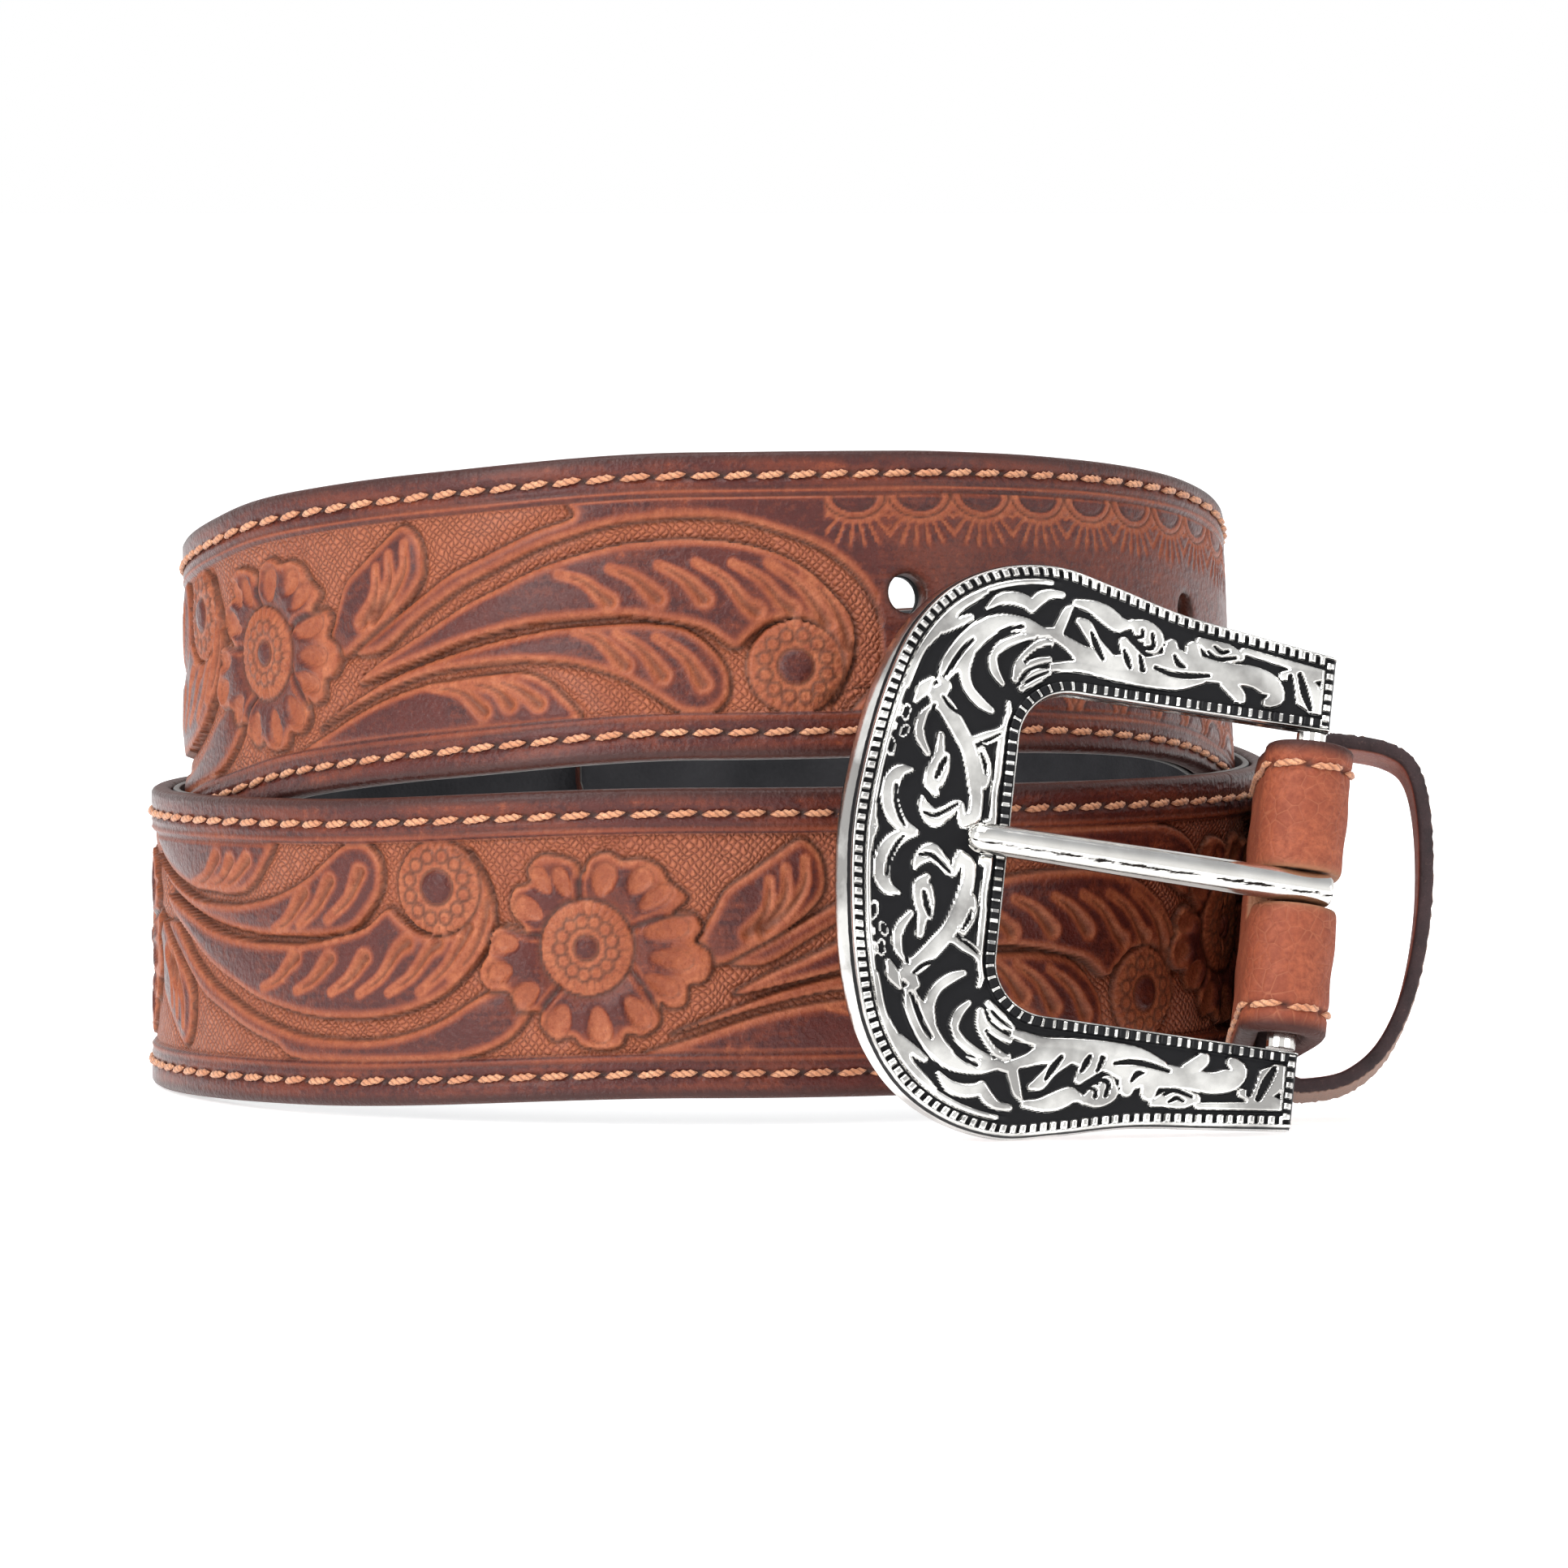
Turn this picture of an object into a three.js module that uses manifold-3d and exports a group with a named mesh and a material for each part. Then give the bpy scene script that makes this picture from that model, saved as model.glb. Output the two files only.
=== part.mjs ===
// A tooled leather western belt, coiled a little over two turns and stood on its edge, with a cast scroll buckle.
// Millimetres, +Z up. The coil's axis is vertical and the buckle is at the right front (+X, -Y).
import * as THREE from 'three';
import { mergeVertices } from 'three/addons/utils/BufferGeometryUtils.js';
import Module from 'manifold-3d';

const wasm = await Module();
wasm.setup();

// The strap: tooled leather with a thin black lining behind it.
const STRAP_WIDTH = 38;
const LEATHER_THICKNESS = 2.5;
const LINING_THICKNESS = 0.85;
const LAYER_GAP = 0.3;
const GRAIN_BEVEL = 0.6;
const FLESH_BEVEL = 0.3;
const STATION_STEP = 6;
const TIP_LENGTH = 24;
const TIP_HALF_WIDTH = 4;
const TIP_END_WIDTH = 36;
const TAPER_FROM = 865;
const TAPER_TO = 940;

// The holes for the prong, counted back from the free end.
const HOLE_RADIUS = 2.5;
const HOLE_COUNT = 5;
const HOLE_PITCH = 25.4;
const HOLE_RISE = 1;
const FIRST_HOLE_TURN = 652.5;

// The buckle end: a straight run, then a fold round the bar whose tail comes back inside the strap.
const BAR_X = 72.7;
const BAR_HEIGHT = 29;
const STRAIGHT_RUN = 75;
const BAR_SLOPE = 0.242;
const BAR_LEAN = -5.9;
const BAR_RADIUS = 1.8;
const FOLD_RADIUS = 4.1;
const FOLD_DEPTH = -1.9;
const FOLD_BLEND = 15;
const FOLD_WIDTH = 36;
const TAIL_END = 46;
const TAIL_STEP_FROM = 25;
const TAIL_STEP_TO = 32;
const SLOT_HEIGHT = 4.8;
const SLOT_REACH = 8.5;

// The keeper loop round the strap and its tail.
const KEEPER_START = 12.5;
const KEEPER_WIDTH = 11.5;
const KEEPER_THICKNESS = 1.9;
const KEEPER_GAP = 0.45;

// The buckle, in its own plane: u from the bar to the closed end, v up the bar, f out of the front.
const BUCKLE_SWING = 13;
const FRAME_BACK = -2;
const WINDOW_HALF_HEIGHT = 19.8;
const WINDOW_END = 36.5;
const WINDOW_CORNER = 6.2;
const ARM_END = -2;
const FIELD_LEVEL = 1.4;
const RIM_LEVEL = 1.9;
const SCROLL_LEVEL = 2.1;
const CORNER_U = 29;
const CORNER_V = 12.5;
const PRONG_RADIUS = 2;
const PRONG_LENGTH = 42.5;
const PRONG_EYE_RADIUS = 3.6;
const PRONG_EYE_HOLE = 2.15;

// Where the coil runs. turn is the angle walked round it in degrees from the right side, radius is out to the
// grain face at mid width, rise is the height of the lower edge, and lean is how far the top tips inward in degrees.
const COIL = [
  { turn: 0, radius: 75.5, rise: 0, lean: -4 },
  { turn: 20, radius: 75.2, rise: 0, lean: -3.2 },
  { turn: 45, radius: 74.4, rise: 0, lean: -1 },
  { turn: 90, radius: 74.0, rise: 0, lean: 0 },
  { turn: 135, radius: 72.4, rise: 0, lean: 0 },
  { turn: 180, radius: 70.7, rise: 0, lean: 0 },
  { turn: 225, radius: 70.7, rise: 1, lean: 0 },
  { turn: 270, radius: 70.7, rise: 3.5, lean: 0 },
  { turn: 295, radius: 70.9, rise: 3.5, lean: 0 },
  { turn: 318, radius: 71.6, rise: 3.3, lean: -1 },
  { turn: 338, radius: 72.2, rise: 3.1, lean: -2.5 },
  { turn: 350, radius: 71.9, rise: 3.1, lean: -3.5 },
  { turn: 360, radius: 71.6, rise: 3.2, lean: -4 },
  { turn: 380, radius: 71.3, rise: 4.4, lean: -3.2 },
  { turn: 405, radius: 70.4, rise: 9.8, lean: -1 },
  { turn: 450, radius: 70.0, rise: 17.5, lean: 0 },
  { turn: 495, radius: 68.3, rise: 24.5, lean: 0 },
  { turn: 540, radius: 66.6, rise: 30.4, lean: 0 },
  { turn: 565, radius: 66.3, rise: 35.5, lean: 0.3 },
  { turn: 575, radius: 66.1, rise: 38, lean: 1 },
  { turn: 585, radius: 66.3, rise: 39.8, lean: 3.5 },
  { turn: 600, radius: 66.6, rise: 42.1, lean: 7.5 },
  { turn: 630, radius: 67.2, rise: 45.3, lean: 12 },
  { turn: 653, radius: 67.4, rise: 45.4, lean: 11 },
  { turn: 664, radius: 67.5, rise: 45.05, lean: 10 },
  { turn: 675, radius: 67.5, rise: 44.2, lean: 8.5 },
  { turn: 689, radius: 67.4, rise: 42.4, lean: 5.5 },
  { turn: 700, radius: 67.2, rise: 40.3, lean: 3.6 },
  { turn: 710, radius: 67.5, rise: 37.4, lean: 3 },
  { turn: 718, radius: 67.6, rise: 35, lean: 3 },
  { turn: 728, radius: 67.3, rise: 32.2, lean: 3 },
  { turn: 740, radius: 66.5, rise: 29.3, lean: 2.6 },
  { turn: 760, radius: 65.6, rise: 25.2, lean: 2.5 },
  { turn: 785, radius: 64.9, rise: 21.5, lean: 2.5 },
  { turn: 826, radius: 64.3, rise: 20, lean: 2.5 },
];

// Half of the buckle's outer edge, from the arm's end to the middle of the closed end.
const FRAME_EDGE = [
  { u: -2, v: 29.3 },
  { u: 8, v: 30.5 },
  { u: 18, v: 31.8 },
  { u: 27, v: 34 },
  { u: 34, v: 35.3 },
  { u: 41, v: 34.2 },
  { u: 47, v: 30.8 },
  { u: 51.3, v: 25.2 },
  { u: 53.8, v: 18 },
  { u: 55.4, v: 9 },
  { u: 56.1, v: 0 },
];

// The larger raised scrolls on the buckle's upper half. Each is a tapered stroke through its points.
const SCROLLS = [
  { halfWidth: 0.95, points: [[0.2, 27.2], [0.7, 22.6]] },
  { halfWidth: 0.7, points: [[6, 24.4], [11.5, 26.6], [17, 24.8], [23, 26.2], [28.5, 27]] },
  { halfWidth: 0.7, points: [[7.5, 28.4], [13, 28.2], [18.5, 29.2]] },
  { halfWidth: 0.8, points: [[26, 27], [28.5, 30.5], [30.5, 33]] },
  { halfWidth: 0.7, points: [[22, 26.5], [24.5, 29.5], [26.5, 32]] },
  { halfWidth: 0.55, points: [[31, 33.6], [36, 32.2], [41, 31.5]] },
  { halfWidth: 1.0, points: [[33, 30.2], [38, 30.6], [43, 28], [46.5, 23.5], [49, 19.5]] },
  { halfWidth: 0.8, points: [[44.5, 26], [41.5, 23.2], [39.5, 21.8]] },
  { halfWidth: 0.8, points: [[47, 22.5], [44, 18.8], [42, 17]] },
  { halfWidth: 0.65, points: [[47, 20], [44.2, 15], [42.3, 9.5], [41.2, 4.5], [42.6, 2.8]] },
  { halfWidth: 0.6, points: [[49.5, 18.5], [50, 14], [48.5, 11.5]] },
  { halfWidth: 0.6, points: [[47, 12.5], [48.2, 9], [46, 7.2], [44.6, 10]] },
  { halfWidth: 0.6, points: [[51, 9], [53.4, 5.5], [52.2, 1.5], [49.5, 0.6]] },
  { halfWidth: 0.6, points: [[48.5, 5], [46.8, 2.8], [44.2, 3.8]] },
];

const leatherLook = { color: 0xaa5532, roughness: 0.55, metalness: 0 };
const liningLook = { color: 0x28282b, roughness: 0.8, metalness: 0 };
const silverLook = { color: 0xc9c6c0, roughness: 0.22, metalness: 1 };

const radians = (degrees) => THREE.MathUtils.degToRad(degrees);

// One column of the table, made smooth by cubic pieces that never overshoot its values.
function smoothColumn(table, key, name) {
  const x = table.map((row) => row[key]);
  const y = table.map((row) => row[name]);
  const last = x.length - 1;
  const rise = x.slice(1).map((value, i) => (y[i + 1] - y[i]) / (value - x[i]));
  const slope = x.map((value, i) => {
    if (i === 0) return 0;
    if (i === last) return rise[last - 1];
    if (rise[i - 1] * rise[i] <= 0) return 0;
    const before = x[i] - x[i - 1];
    const after = x[i + 1] - x[i];
    const heavy = 2 * after + before;
    const light = after + 2 * before;
    return (heavy + light) / (heavy / rise[i - 1] + light / rise[i]);
  });
  return (at) => {
    let i = 0;
    while (i < last - 1 && at >= x[i + 1]) i += 1;
    const span = x[i + 1] - x[i];
    const s = (at - x[i]) / span;
    const start = (1 + 2 * s) * (1 - s) ** 2 * y[i] + s * (1 - s) ** 2 * span * slope[i];
    const end = s * s * (3 - 2 * s) * y[i + 1] + s * s * (s - 1) * span * slope[i + 1];
    return start + end;
  };
}

const coilRadius = smoothColumn(COIL, 'turn', 'radius');
const coilRise = smoothColumn(COIL, 'turn', 'rise');
const coilLean = smoothColumn(COIL, 'turn', 'lean');

const smooth = (x) => x * x * (3 - 2 * x);

// The straight run behind the bar: it comes down to the floor in a parabola and takes on the coil's first lean.
function straightPoint(y) {
  const along = (y + STRAIGHT_RUN) / STRAIGHT_RUN;
  const left = (1 - along) ** 2;
  const near = smooth(Math.max(along, 0));
  const drop = BAR_HEIGHT - STRAP_WIDTH / 2;
  const fall = along < 0 ? 1 - (BAR_SLOPE * along * STRAIGHT_RUN) / drop : left;
  const x = (BAR_X - FOLD_DEPTH) * (1 - near) + COIL[0].radius * near;
  return {
    place: new THREE.Vector3(x, y, STRAP_WIDTH / 2 + drop * fall),
    out: new THREE.Vector3(1, 0, 0),
    lean: radians(BAR_LEAN * (1 - near) + COIL[0].lean * near),
  };
}

function coilPoint(turn) {
  const angle = radians(turn);
  const lean = radians(coilLean(turn));
  const radius = coilRadius(turn);
  const height = coilRise(turn) + (STRAP_WIDTH / 2) * Math.cos(lean);
  const out = new THREE.Vector3(Math.cos(angle), Math.sin(angle), 0);
  return { place: out.clone().multiplyScalar(radius).setZ(height), out, lean };
}

// The middle line of the grain face, from in front of the bar to the tip, with the length walked along it.
function walkStrap() {
  const points = [];
  for (let y = -STRAIGHT_RUN - 12; y < -0.01; y += 0.5) points.push({ ...straightPoint(y), turn: 0, y });
  for (let turn = 0; turn <= COIL.at(-1).turn; turn += 0.4) points.push({ ...coilPoint(turn), turn, y: 0 });
  let length = 0;
  points.forEach((point, i) => {
    if (i > 0) length += point.place.distanceTo(points[i - 1].place);
    point.length = length;
  });
  const start = points.find((point) => point.y >= -STRAIGHT_RUN).length;
  points.forEach((point) => (point.length -= start));
  return points;
}

const walk = walkStrap();
const STRAP_LENGTH = walk.at(-1).length;

function lengthAtTurn(turn) {
  return walk.find((point) => point.turn >= turn).length;
}

// The strap's own axes at a length: along it, across its width and out of the grain face.
function strapAxes(length) {
  let i = 1;
  while (i < walk.length - 2 && walk[i + 1].length < length) i += 1;
  const [a, b] = [walk[i], walk[i + 1]];
  const s = (length - a.length) / (b.length - a.length);
  const place = a.place.clone().lerp(b.place, s);
  const before = walk[Math.max(i - 2, 0)].place;
  const after = walk[Math.min(i + 3, walk.length - 1)].place;
  const along = after.clone().sub(before).normalize();
  const lean = a.lean + (b.lean - a.lean) * s;
  const out = a.out.clone().lerp(b.out, s).normalize();
  const across = new THREE.Vector3(0, 0, Math.cos(lean)).addScaledVector(out, -Math.sin(lean));
  across.addScaledVector(along, -across.dot(along)).normalize();
  return { place, along, across, out: along.clone().cross(across) };
}

// A point given by its length along the strap, its height out of the grain face and its place across the width.
function onStrap(axes, out, across, along = 0) {
  return axes.place
    .clone()
    .addScaledVector(axes.out, out)
    .addScaledVector(axes.across, across)
    .addScaledVector(axes.along, along);
}

// A solid skinned through equal sections. An open one gets flat ends, a ring joins its last section to its first.
// Each four-sided patch is split along its shorter diagonal, so that two twisted layers stay parallel.
function skin(sections, ring = false) {
  const sides = sections[0].length;
  const places = sections.flat();
  const faces = [];
  const lastSection = ring ? sections.length : sections.length - 1;
  for (let i = 0; i < lastSection; i += 1) {
    const here = i * sides;
    const next = ((i + 1) % sections.length) * sides;
    for (let j = 0; j < sides; j += 1) {
      const k = (j + 1) % sides;
      const rising = places[here + j].distanceTo(places[next + k]);
      const falling = places[here + k].distanceTo(places[next + j]);
      if (rising < falling) faces.push(here + j, here + k, next + k, here + j, next + k, next + j);
      else faces.push(here + j, here + k, next + j, here + k, next + k, next + j);
    }
  }
  if (!ring) {
    const end = (sections.length - 1) * sides;
    for (let j = 1; j < sides - 1; j += 1) faces.push(0, j + 1, j, end, end + j, end + j + 1);
  }
  const geometry = new THREE.BufferGeometry();
  geometry.setAttribute('position', new THREE.Float32BufferAttribute(places.flatMap((p) => p.toArray()), 3));
  geometry.setIndex(faces);
  return geometry;
}

function toSolid(geometry) {
  const plain = geometry.clone();
  plain.deleteAttribute('normal');
  plain.deleteAttribute('uv');
  const merged = mergeVertices(plain, 1e-4);
  return new wasm.Manifold(new wasm.Mesh({
    numProp: 3,
    vertProperties: new Float32Array(merged.attributes.position.array),
    triVerts: new Uint32Array(merged.index.array),
  }));
}

function toGeometry(solid) {
  const mesh = solid.getMesh();
  const geometry = new THREE.BufferGeometry();
  geometry.setAttribute('position', new THREE.Float32BufferAttribute(mesh.vertProperties, 3));
  geometry.setIndex(Array.from(mesh.triVerts));
  return geometry;
}

// The leather's section in its own plane: a flat strip with its edges bevelled, more on the grain side.
function leatherSection(halfWidth) {
  const half = LEATHER_THICKNESS / 2;
  return [
    [-half, -halfWidth + FLESH_BEVEL],
    [-half, halfWidth - FLESH_BEVEL],
    [-half + FLESH_BEVEL, halfWidth],
    [half - GRAIN_BEVEL, halfWidth],
    [half, halfWidth - GRAIN_BEVEL],
    [half, -halfWidth + GRAIN_BEVEL],
    [half - GRAIN_BEVEL, -halfWidth],
    [-half + FLESH_BEVEL, -halfWidth],
  ];
}

// How far a length lies between two others, from 0 to 1 and smooth at both ends.
const between = (length, from, to) => smooth(Math.min(Math.max((length - from) / (to - from), 0), 1));

// Half the strap's width at a length: a little narrower at the fold and at the holes, and drawn in to a rounded tip.
function halfWidthAt(length) {
  const wide = FOLD_WIDTH + (STRAP_WIDTH - FOLD_WIDTH) * between(length, 0, FOLD_BLEND)
    - (STRAP_WIDTH - TIP_END_WIDTH) * between(length, TAPER_FROM, TAPER_TO);
  const into = (length - (STRAP_LENGTH - TIP_LENGTH)) / TIP_LENGTH;
  if (into <= 0) return wide / 2;
  return TIP_HALF_WIDTH + (wide / 2 - TIP_HALF_WIDTH) * Math.sqrt(Math.max(1 - into ** 2.2, 0));
}

// Lengths of the sections along the run and the coil, closer together in the rounded tip.
function stations(from) {
  const list = [];
  const tipStart = STRAP_LENGTH - TIP_LENGTH;
  const steps = Math.ceil((tipStart - from) / STATION_STEP);
  for (let i = 0; i <= steps; i += 1) list.push(from + ((tipStart - from) * i) / steps);
  for (const part of [0.3, 0.55, 0.75, 0.88, 0.96, 1]) list.push(tipStart + TIP_LENGTH * part);
  return list;
}

// The leather's middle line in the plane of the fold: tail, turn round the bar, then the strap itself.
// Each point has its length and its height out of the grain face. The tail lies deeper where the keeper is under it.
function leatherLine() {
  const overLining = -LEATHER_THICKNESS - LINING_THICKNESS - 2 * LAYER_GAP - LEATHER_THICKNESS / 2;
  const overKeeper = -LEATHER_THICKNESS - KEEPER_THICKNESS - 2 * KEEPER_GAP - LEATHER_THICKNESS / 2;
  const strapLevel = -LEATHER_THICKNESS / 2;
  const line = [];
  for (const length of [TAIL_END, 42.5, 39, 35.5, TAIL_STEP_TO, 30.25, 28.5, 26.75, TAIL_STEP_FROM, 20]) {
    const step = between(length, TAIL_STEP_FROM, TAIL_STEP_TO);
    line.push([length, overKeeper + (overLining - overKeeper) * step]);
  }
  for (const part of [1, 0.75, 0.5, 0.25]) {
    line.push([FOLD_BLEND * part, overKeeper + (FOLD_DEPTH - FOLD_RADIUS - overKeeper) * smooth(1 - part)]);
  }
  for (let angle = 0; angle <= 180; angle += 15) {
    const a = radians(angle);
    line.push([-FOLD_RADIUS * Math.sin(a), FOLD_DEPTH - FOLD_RADIUS * Math.cos(a)]);
  }
  for (const part of [0.25, 0.5, 0.75]) {
    line.push([FOLD_BLEND * part, strapLevel + (FOLD_DEPTH + FOLD_RADIUS - strapLevel) * smooth(1 - part)]);
  }
  stations(FOLD_BLEND).forEach((length) => line.push([length, strapLevel]));
  return line;
}

function makeLeather() {
  const line = leatherLine();
  const sections = line.map(([length, level], i) => {
    const before = line[Math.max(i - 1, 0)];
    const after = line[Math.min(i + 1, line.length - 1)];
    const direction = new THREE.Vector2(after[0] - before[0], after[1] - before[1]).normalize();
    const axes = strapAxes(length);
    const overhang = length < 0 ? length : 0;
    const base = strapAxes(Math.max(length, 0));
    const frame = overhang < 0 ? base : axes;
    return leatherSection(halfWidthAt(length)).map(([out, across]) => {
      const alongStep = overhang - direction.y * out;
      return onStrap(frame, level + direction.x * out, across, alongStep);
    });
  });
  let solid = toSolid(skin(sections));
  solid = solid.subtract(makeSlotCutter());
  holeCutters().forEach((cutter) => (solid = solid.subtract(cutter)));
  return toGeometry(solid);
}

// The oblong opening that the prong swings in: it goes right round the front of the fold.
function makeSlotCutter() {
  const box = new THREE.BoxGeometry(2 * SLOT_REACH, 30, SLOT_HEIGHT);
  const axes = strapAxes(0);
  const turn = new THREE.Matrix4().makeBasis(axes.along, axes.out.clone().negate(), axes.across);
  turn.setPosition(onStrap(axes, FOLD_DEPTH, 0));
  box.applyMatrix4(turn);
  return toSolid(box);
}

function holeCutters() {
  const first = lengthAtTurn(FIRST_HOLE_TURN);
  return Array.from({ length: HOLE_COUNT }, (_, i) => {
    const axes = strapAxes(first + i * HOLE_PITCH);
    const drill = new THREE.CylinderGeometry(HOLE_RADIUS, HOLE_RADIUS, 12, 14);
    const turn = new THREE.Matrix4().makeBasis(axes.across, axes.out, axes.along);
    turn.setPosition(onStrap(axes, -LEATHER_THICKNESS, HOLE_RISE));
    return toSolid(drill.applyMatrix4(turn));
  });
}

function makeLining() {
  const top = -LEATHER_THICKNESS - LAYER_GAP;
  const bottom = top - LINING_THICKNESS;
  const sections = stations(FOLD_BLEND).slice(2).map((length) => {
    const axes = strapAxes(length);
    const half = halfWidthAt(length) - 0.2;
    return [[bottom, -half], [bottom, half], [top, half], [top, -half]].map(([out, across]) =>
      onStrap(axes, out, across));
  });
  let solid = toSolid(skin(sections));
  holeCutters().forEach((cutter) => (solid = solid.subtract(cutter)));
  return toGeometry(solid);
}

// The keeper's middle line, as height out of the grain face and place across the strap: flat between the strap and
// its tail, up round the strap's edges and bulged out in front to leave room for the strap's tip.
const KEEPER_LINE = [
  { out: -3.9, across: 0 },
  { out: -3.9, across: 12 },
  { out: -3.9, across: 18.4 },
  { out: -3.5, across: 19.9 },
  { out: -2.2, across: 20.7 },
  { out: 0, across: 21.2 },
  { out: 2, across: 21.5 },
  { out: 8, across: 21 },
  { out: 11.4, across: 18.6 },
  { out: 13.4, across: 12 },
  { out: 14.3, across: 2 },
  { out: 13.5, across: -8 },
  { out: 11, across: -15.5 },
  { out: 7, across: -19.8 },
  { out: 2, across: -21.4 },
  { out: 0, across: -21.2 },
  { out: -2.2, across: -20.7 },
  { out: -3.5, across: -19.9 },
  { out: -3.9, across: -18.4 },
  { out: -3.9, across: -12 },
];

function makeKeeper() {
  const curve = new THREE.CatmullRomCurve3(
    KEEPER_LINE.map((row) => new THREE.Vector3(row.out, row.across, 0)), true, 'centripetal');
  const count = 48;
  const half = KEEPER_THICKNESS / 2;
  const middle = strapAxes(KEEPER_START + KEEPER_WIDTH / 2);
  const sections = Array.from({ length: count }, (_, i) => {
    const point = curve.getPointAt(i / count);
    const tangent = curve.getTangentAt(i / count);
    const side = new THREE.Vector2(tangent.y, -tangent.x);
    const corners = [[-half, -1], [half, -1], [half, 1], [-half, 1]];
    return corners.map(([thick, end]) => {
      const along = (end * KEEPER_WIDTH) / 2;
      return onStrap(middle, point.x + side.x * thick, point.y + side.y * thick, along);
    });
  });
  return skin(sections, true);
}

// The buckle's own axes: u leaves the bar across the front of the coil, v runs up the bar, f faces out.
function buckleMatrix() {
  const bar = strapAxes(0);
  const swing = radians(BUCKLE_SWING);
  const u = bar.out.clone().multiplyScalar(-Math.cos(swing)).addScaledVector(bar.along, -Math.sin(swing));
  const v = bar.across.clone();
  const f = v.clone().cross(u);
  return new THREE.Matrix4().makeBasis(u, v, f.negate()).setPosition(onStrap(bar, FOLD_DEPTH, 0));
}

// A point in the buckle's plane. The stored third axis points back, so the front level is turned over here.
const inBuckle = (u, v, level) => new THREE.Vector3(u, v, -level);

const frameEdge = new THREE.SplineCurve([
  ...FRAME_EDGE.map((row) => new THREE.Vector2(row.u, row.v)),
  ...FRAME_EDGE.slice(0, -1).reverse().map((row) => new THREE.Vector2(row.u, -row.v)),
]).getPoints(240);

function windowEdge() {
  const shape = new THREE.Path();
  shape.moveTo(ARM_END, WINDOW_HALF_HEIGHT);
  shape.lineTo(WINDOW_END - WINDOW_CORNER, WINDOW_HALF_HEIGHT);
  shape.absarc(WINDOW_END - WINDOW_CORNER, WINDOW_HALF_HEIGHT - WINDOW_CORNER, WINDOW_CORNER, Math.PI / 2, 0, true);
  shape.lineTo(WINDOW_END, -WINDOW_HALF_HEIGHT + WINDOW_CORNER);
  shape.absarc(WINDOW_END - WINDOW_CORNER, -WINDOW_HALF_HEIGHT + WINDOW_CORNER, WINDOW_CORNER, 0, -Math.PI / 2, true);
  shape.lineTo(ARM_END, -WINDOW_HALF_HEIGHT);
  return shape.getPoints(16);
}

// Where a ray from base meets an edge drawn as short straight pieces.
function crossing(edge, base, direction) {
  for (let i = 0; i < edge.length - 1; i += 1) {
    const start = edge[i].clone().sub(base);
    const step = edge[i + 1].clone().sub(edge[i]);
    const area = direction.cross(step);
    if (Math.abs(area) < 1e-9) continue;
    const reach = start.cross(step) / area;
    const part = start.cross(direction) / area;
    if (reach > 0 && part >= -1e-6 && part <= 1 + 1e-6) return base.clone().addScaledVector(direction, reach);
  }
  throw new Error('a ray missed the edge');
}

// Rays from inside the window, along the upper arm, round the corner, across the closed end and back.
function frameRays() {
  const rays = [];
  for (let u = ARM_END + 0.001; u < CORNER_U - 2; u += 4.4) rays.push([new THREE.Vector2(u, CORNER_V), 90]);
  for (let angle = 90; angle >= 0; angle -= 9) rays.push([new THREE.Vector2(CORNER_U, CORNER_V), angle]);
  for (let part = 1; part < 4; part += 1) rays.push([new THREE.Vector2(CORNER_U, CORNER_V * (1 - part / 4)), 0]);
  const middle = [[new THREE.Vector2(CORNER_U, 0), 0]];
  const lower = rays.map(([base, angle]) => [new THREE.Vector2(base.x, -base.y), -angle]).reverse();
  return [...rays, ...middle, ...lower];
}

// The frame's section from its outer edge to its inner one: walls, a raised rim at each edge and a sunk field.
// At the closed end the outer wall flares out to the back.
function frameSection(width, flare) {
  return [
    { inset: 0.5 - 1.3 * flare, level: FRAME_BACK },
    { inset: -1.1 * flare, level: -1.3 },
    { inset: 0.3, level: 1 },
    { inset: 0.6, level: RIM_LEVEL },
    { inset: 1.5, level: RIM_LEVEL },
    { inset: 1.9, level: FIELD_LEVEL },
    { inset: width - 1.9, level: FIELD_LEVEL },
    { inset: width - 1.5, level: RIM_LEVEL },
    { inset: width - 0.5, level: RIM_LEVEL },
    { inset: width, level: 1.2 },
    { inset: width - 0.3, level: FRAME_BACK },
  ];
}

function makeFrameBody() {
  const innerEdge = windowEdge();
  const sections = frameRays().map(([base, angle]) => {
    const direction = new THREE.Vector2(Math.cos(radians(angle)), Math.sin(radians(angle)));
    const outer = crossing(frameEdge, base, direction);
    const inner = crossing(innerEdge, base, direction);
    const width = outer.distanceTo(inner);
    return frameSection(width, Math.max(direction.x, 0) ** 3).map(({ inset, level }) => {
      const point = outer.clone().addScaledVector(direction, -inset);
      return inBuckle(point.x, point.y, level);
    });
  });
  return skin(sections.reverse());
}

// A raised stroke: a low ridge with sloped sides that swells in its middle and tapers to both ends.
function makeScroll({ halfWidth, points }, mirror) {
  const curve = new THREE.SplineCurve(points.map(([u, v]) => new THREE.Vector2(u, v * mirror)));
  const count = 2 * points.length;
  const sections = Array.from({ length: count + 1 }, (_, i) => {
    const s = i / count;
    const point = curve.getPoint(s);
    const tangent = curve.getTangent(s);
    const half = halfWidth * (0.35 + 0.65 * Math.sin(Math.PI * s));
    const side = new THREE.Vector2(-tangent.y, tangent.x);
    const foot = FIELD_LEVEL - 0.4;
    return [[-half - 0.25, foot], [half + 0.25, foot], [half, SCROLL_LEVEL], [-half, SCROLL_LEVEL]].map(
      ([away, level]) => inBuckle(point.x + side.x * away, point.y + side.y * away, level));
  });
  return toSolid(skin(sections.reverse()));
}

function makeFrame() {
  let solid = toSolid(makeFrameBody());
  for (const mirror of [1, -1]) {
    for (const scroll of SCROLLS) solid = solid.add(makeScroll(scroll, mirror));
  }
  return toGeometry(solid).applyMatrix4(buckleMatrix());
}

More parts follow.
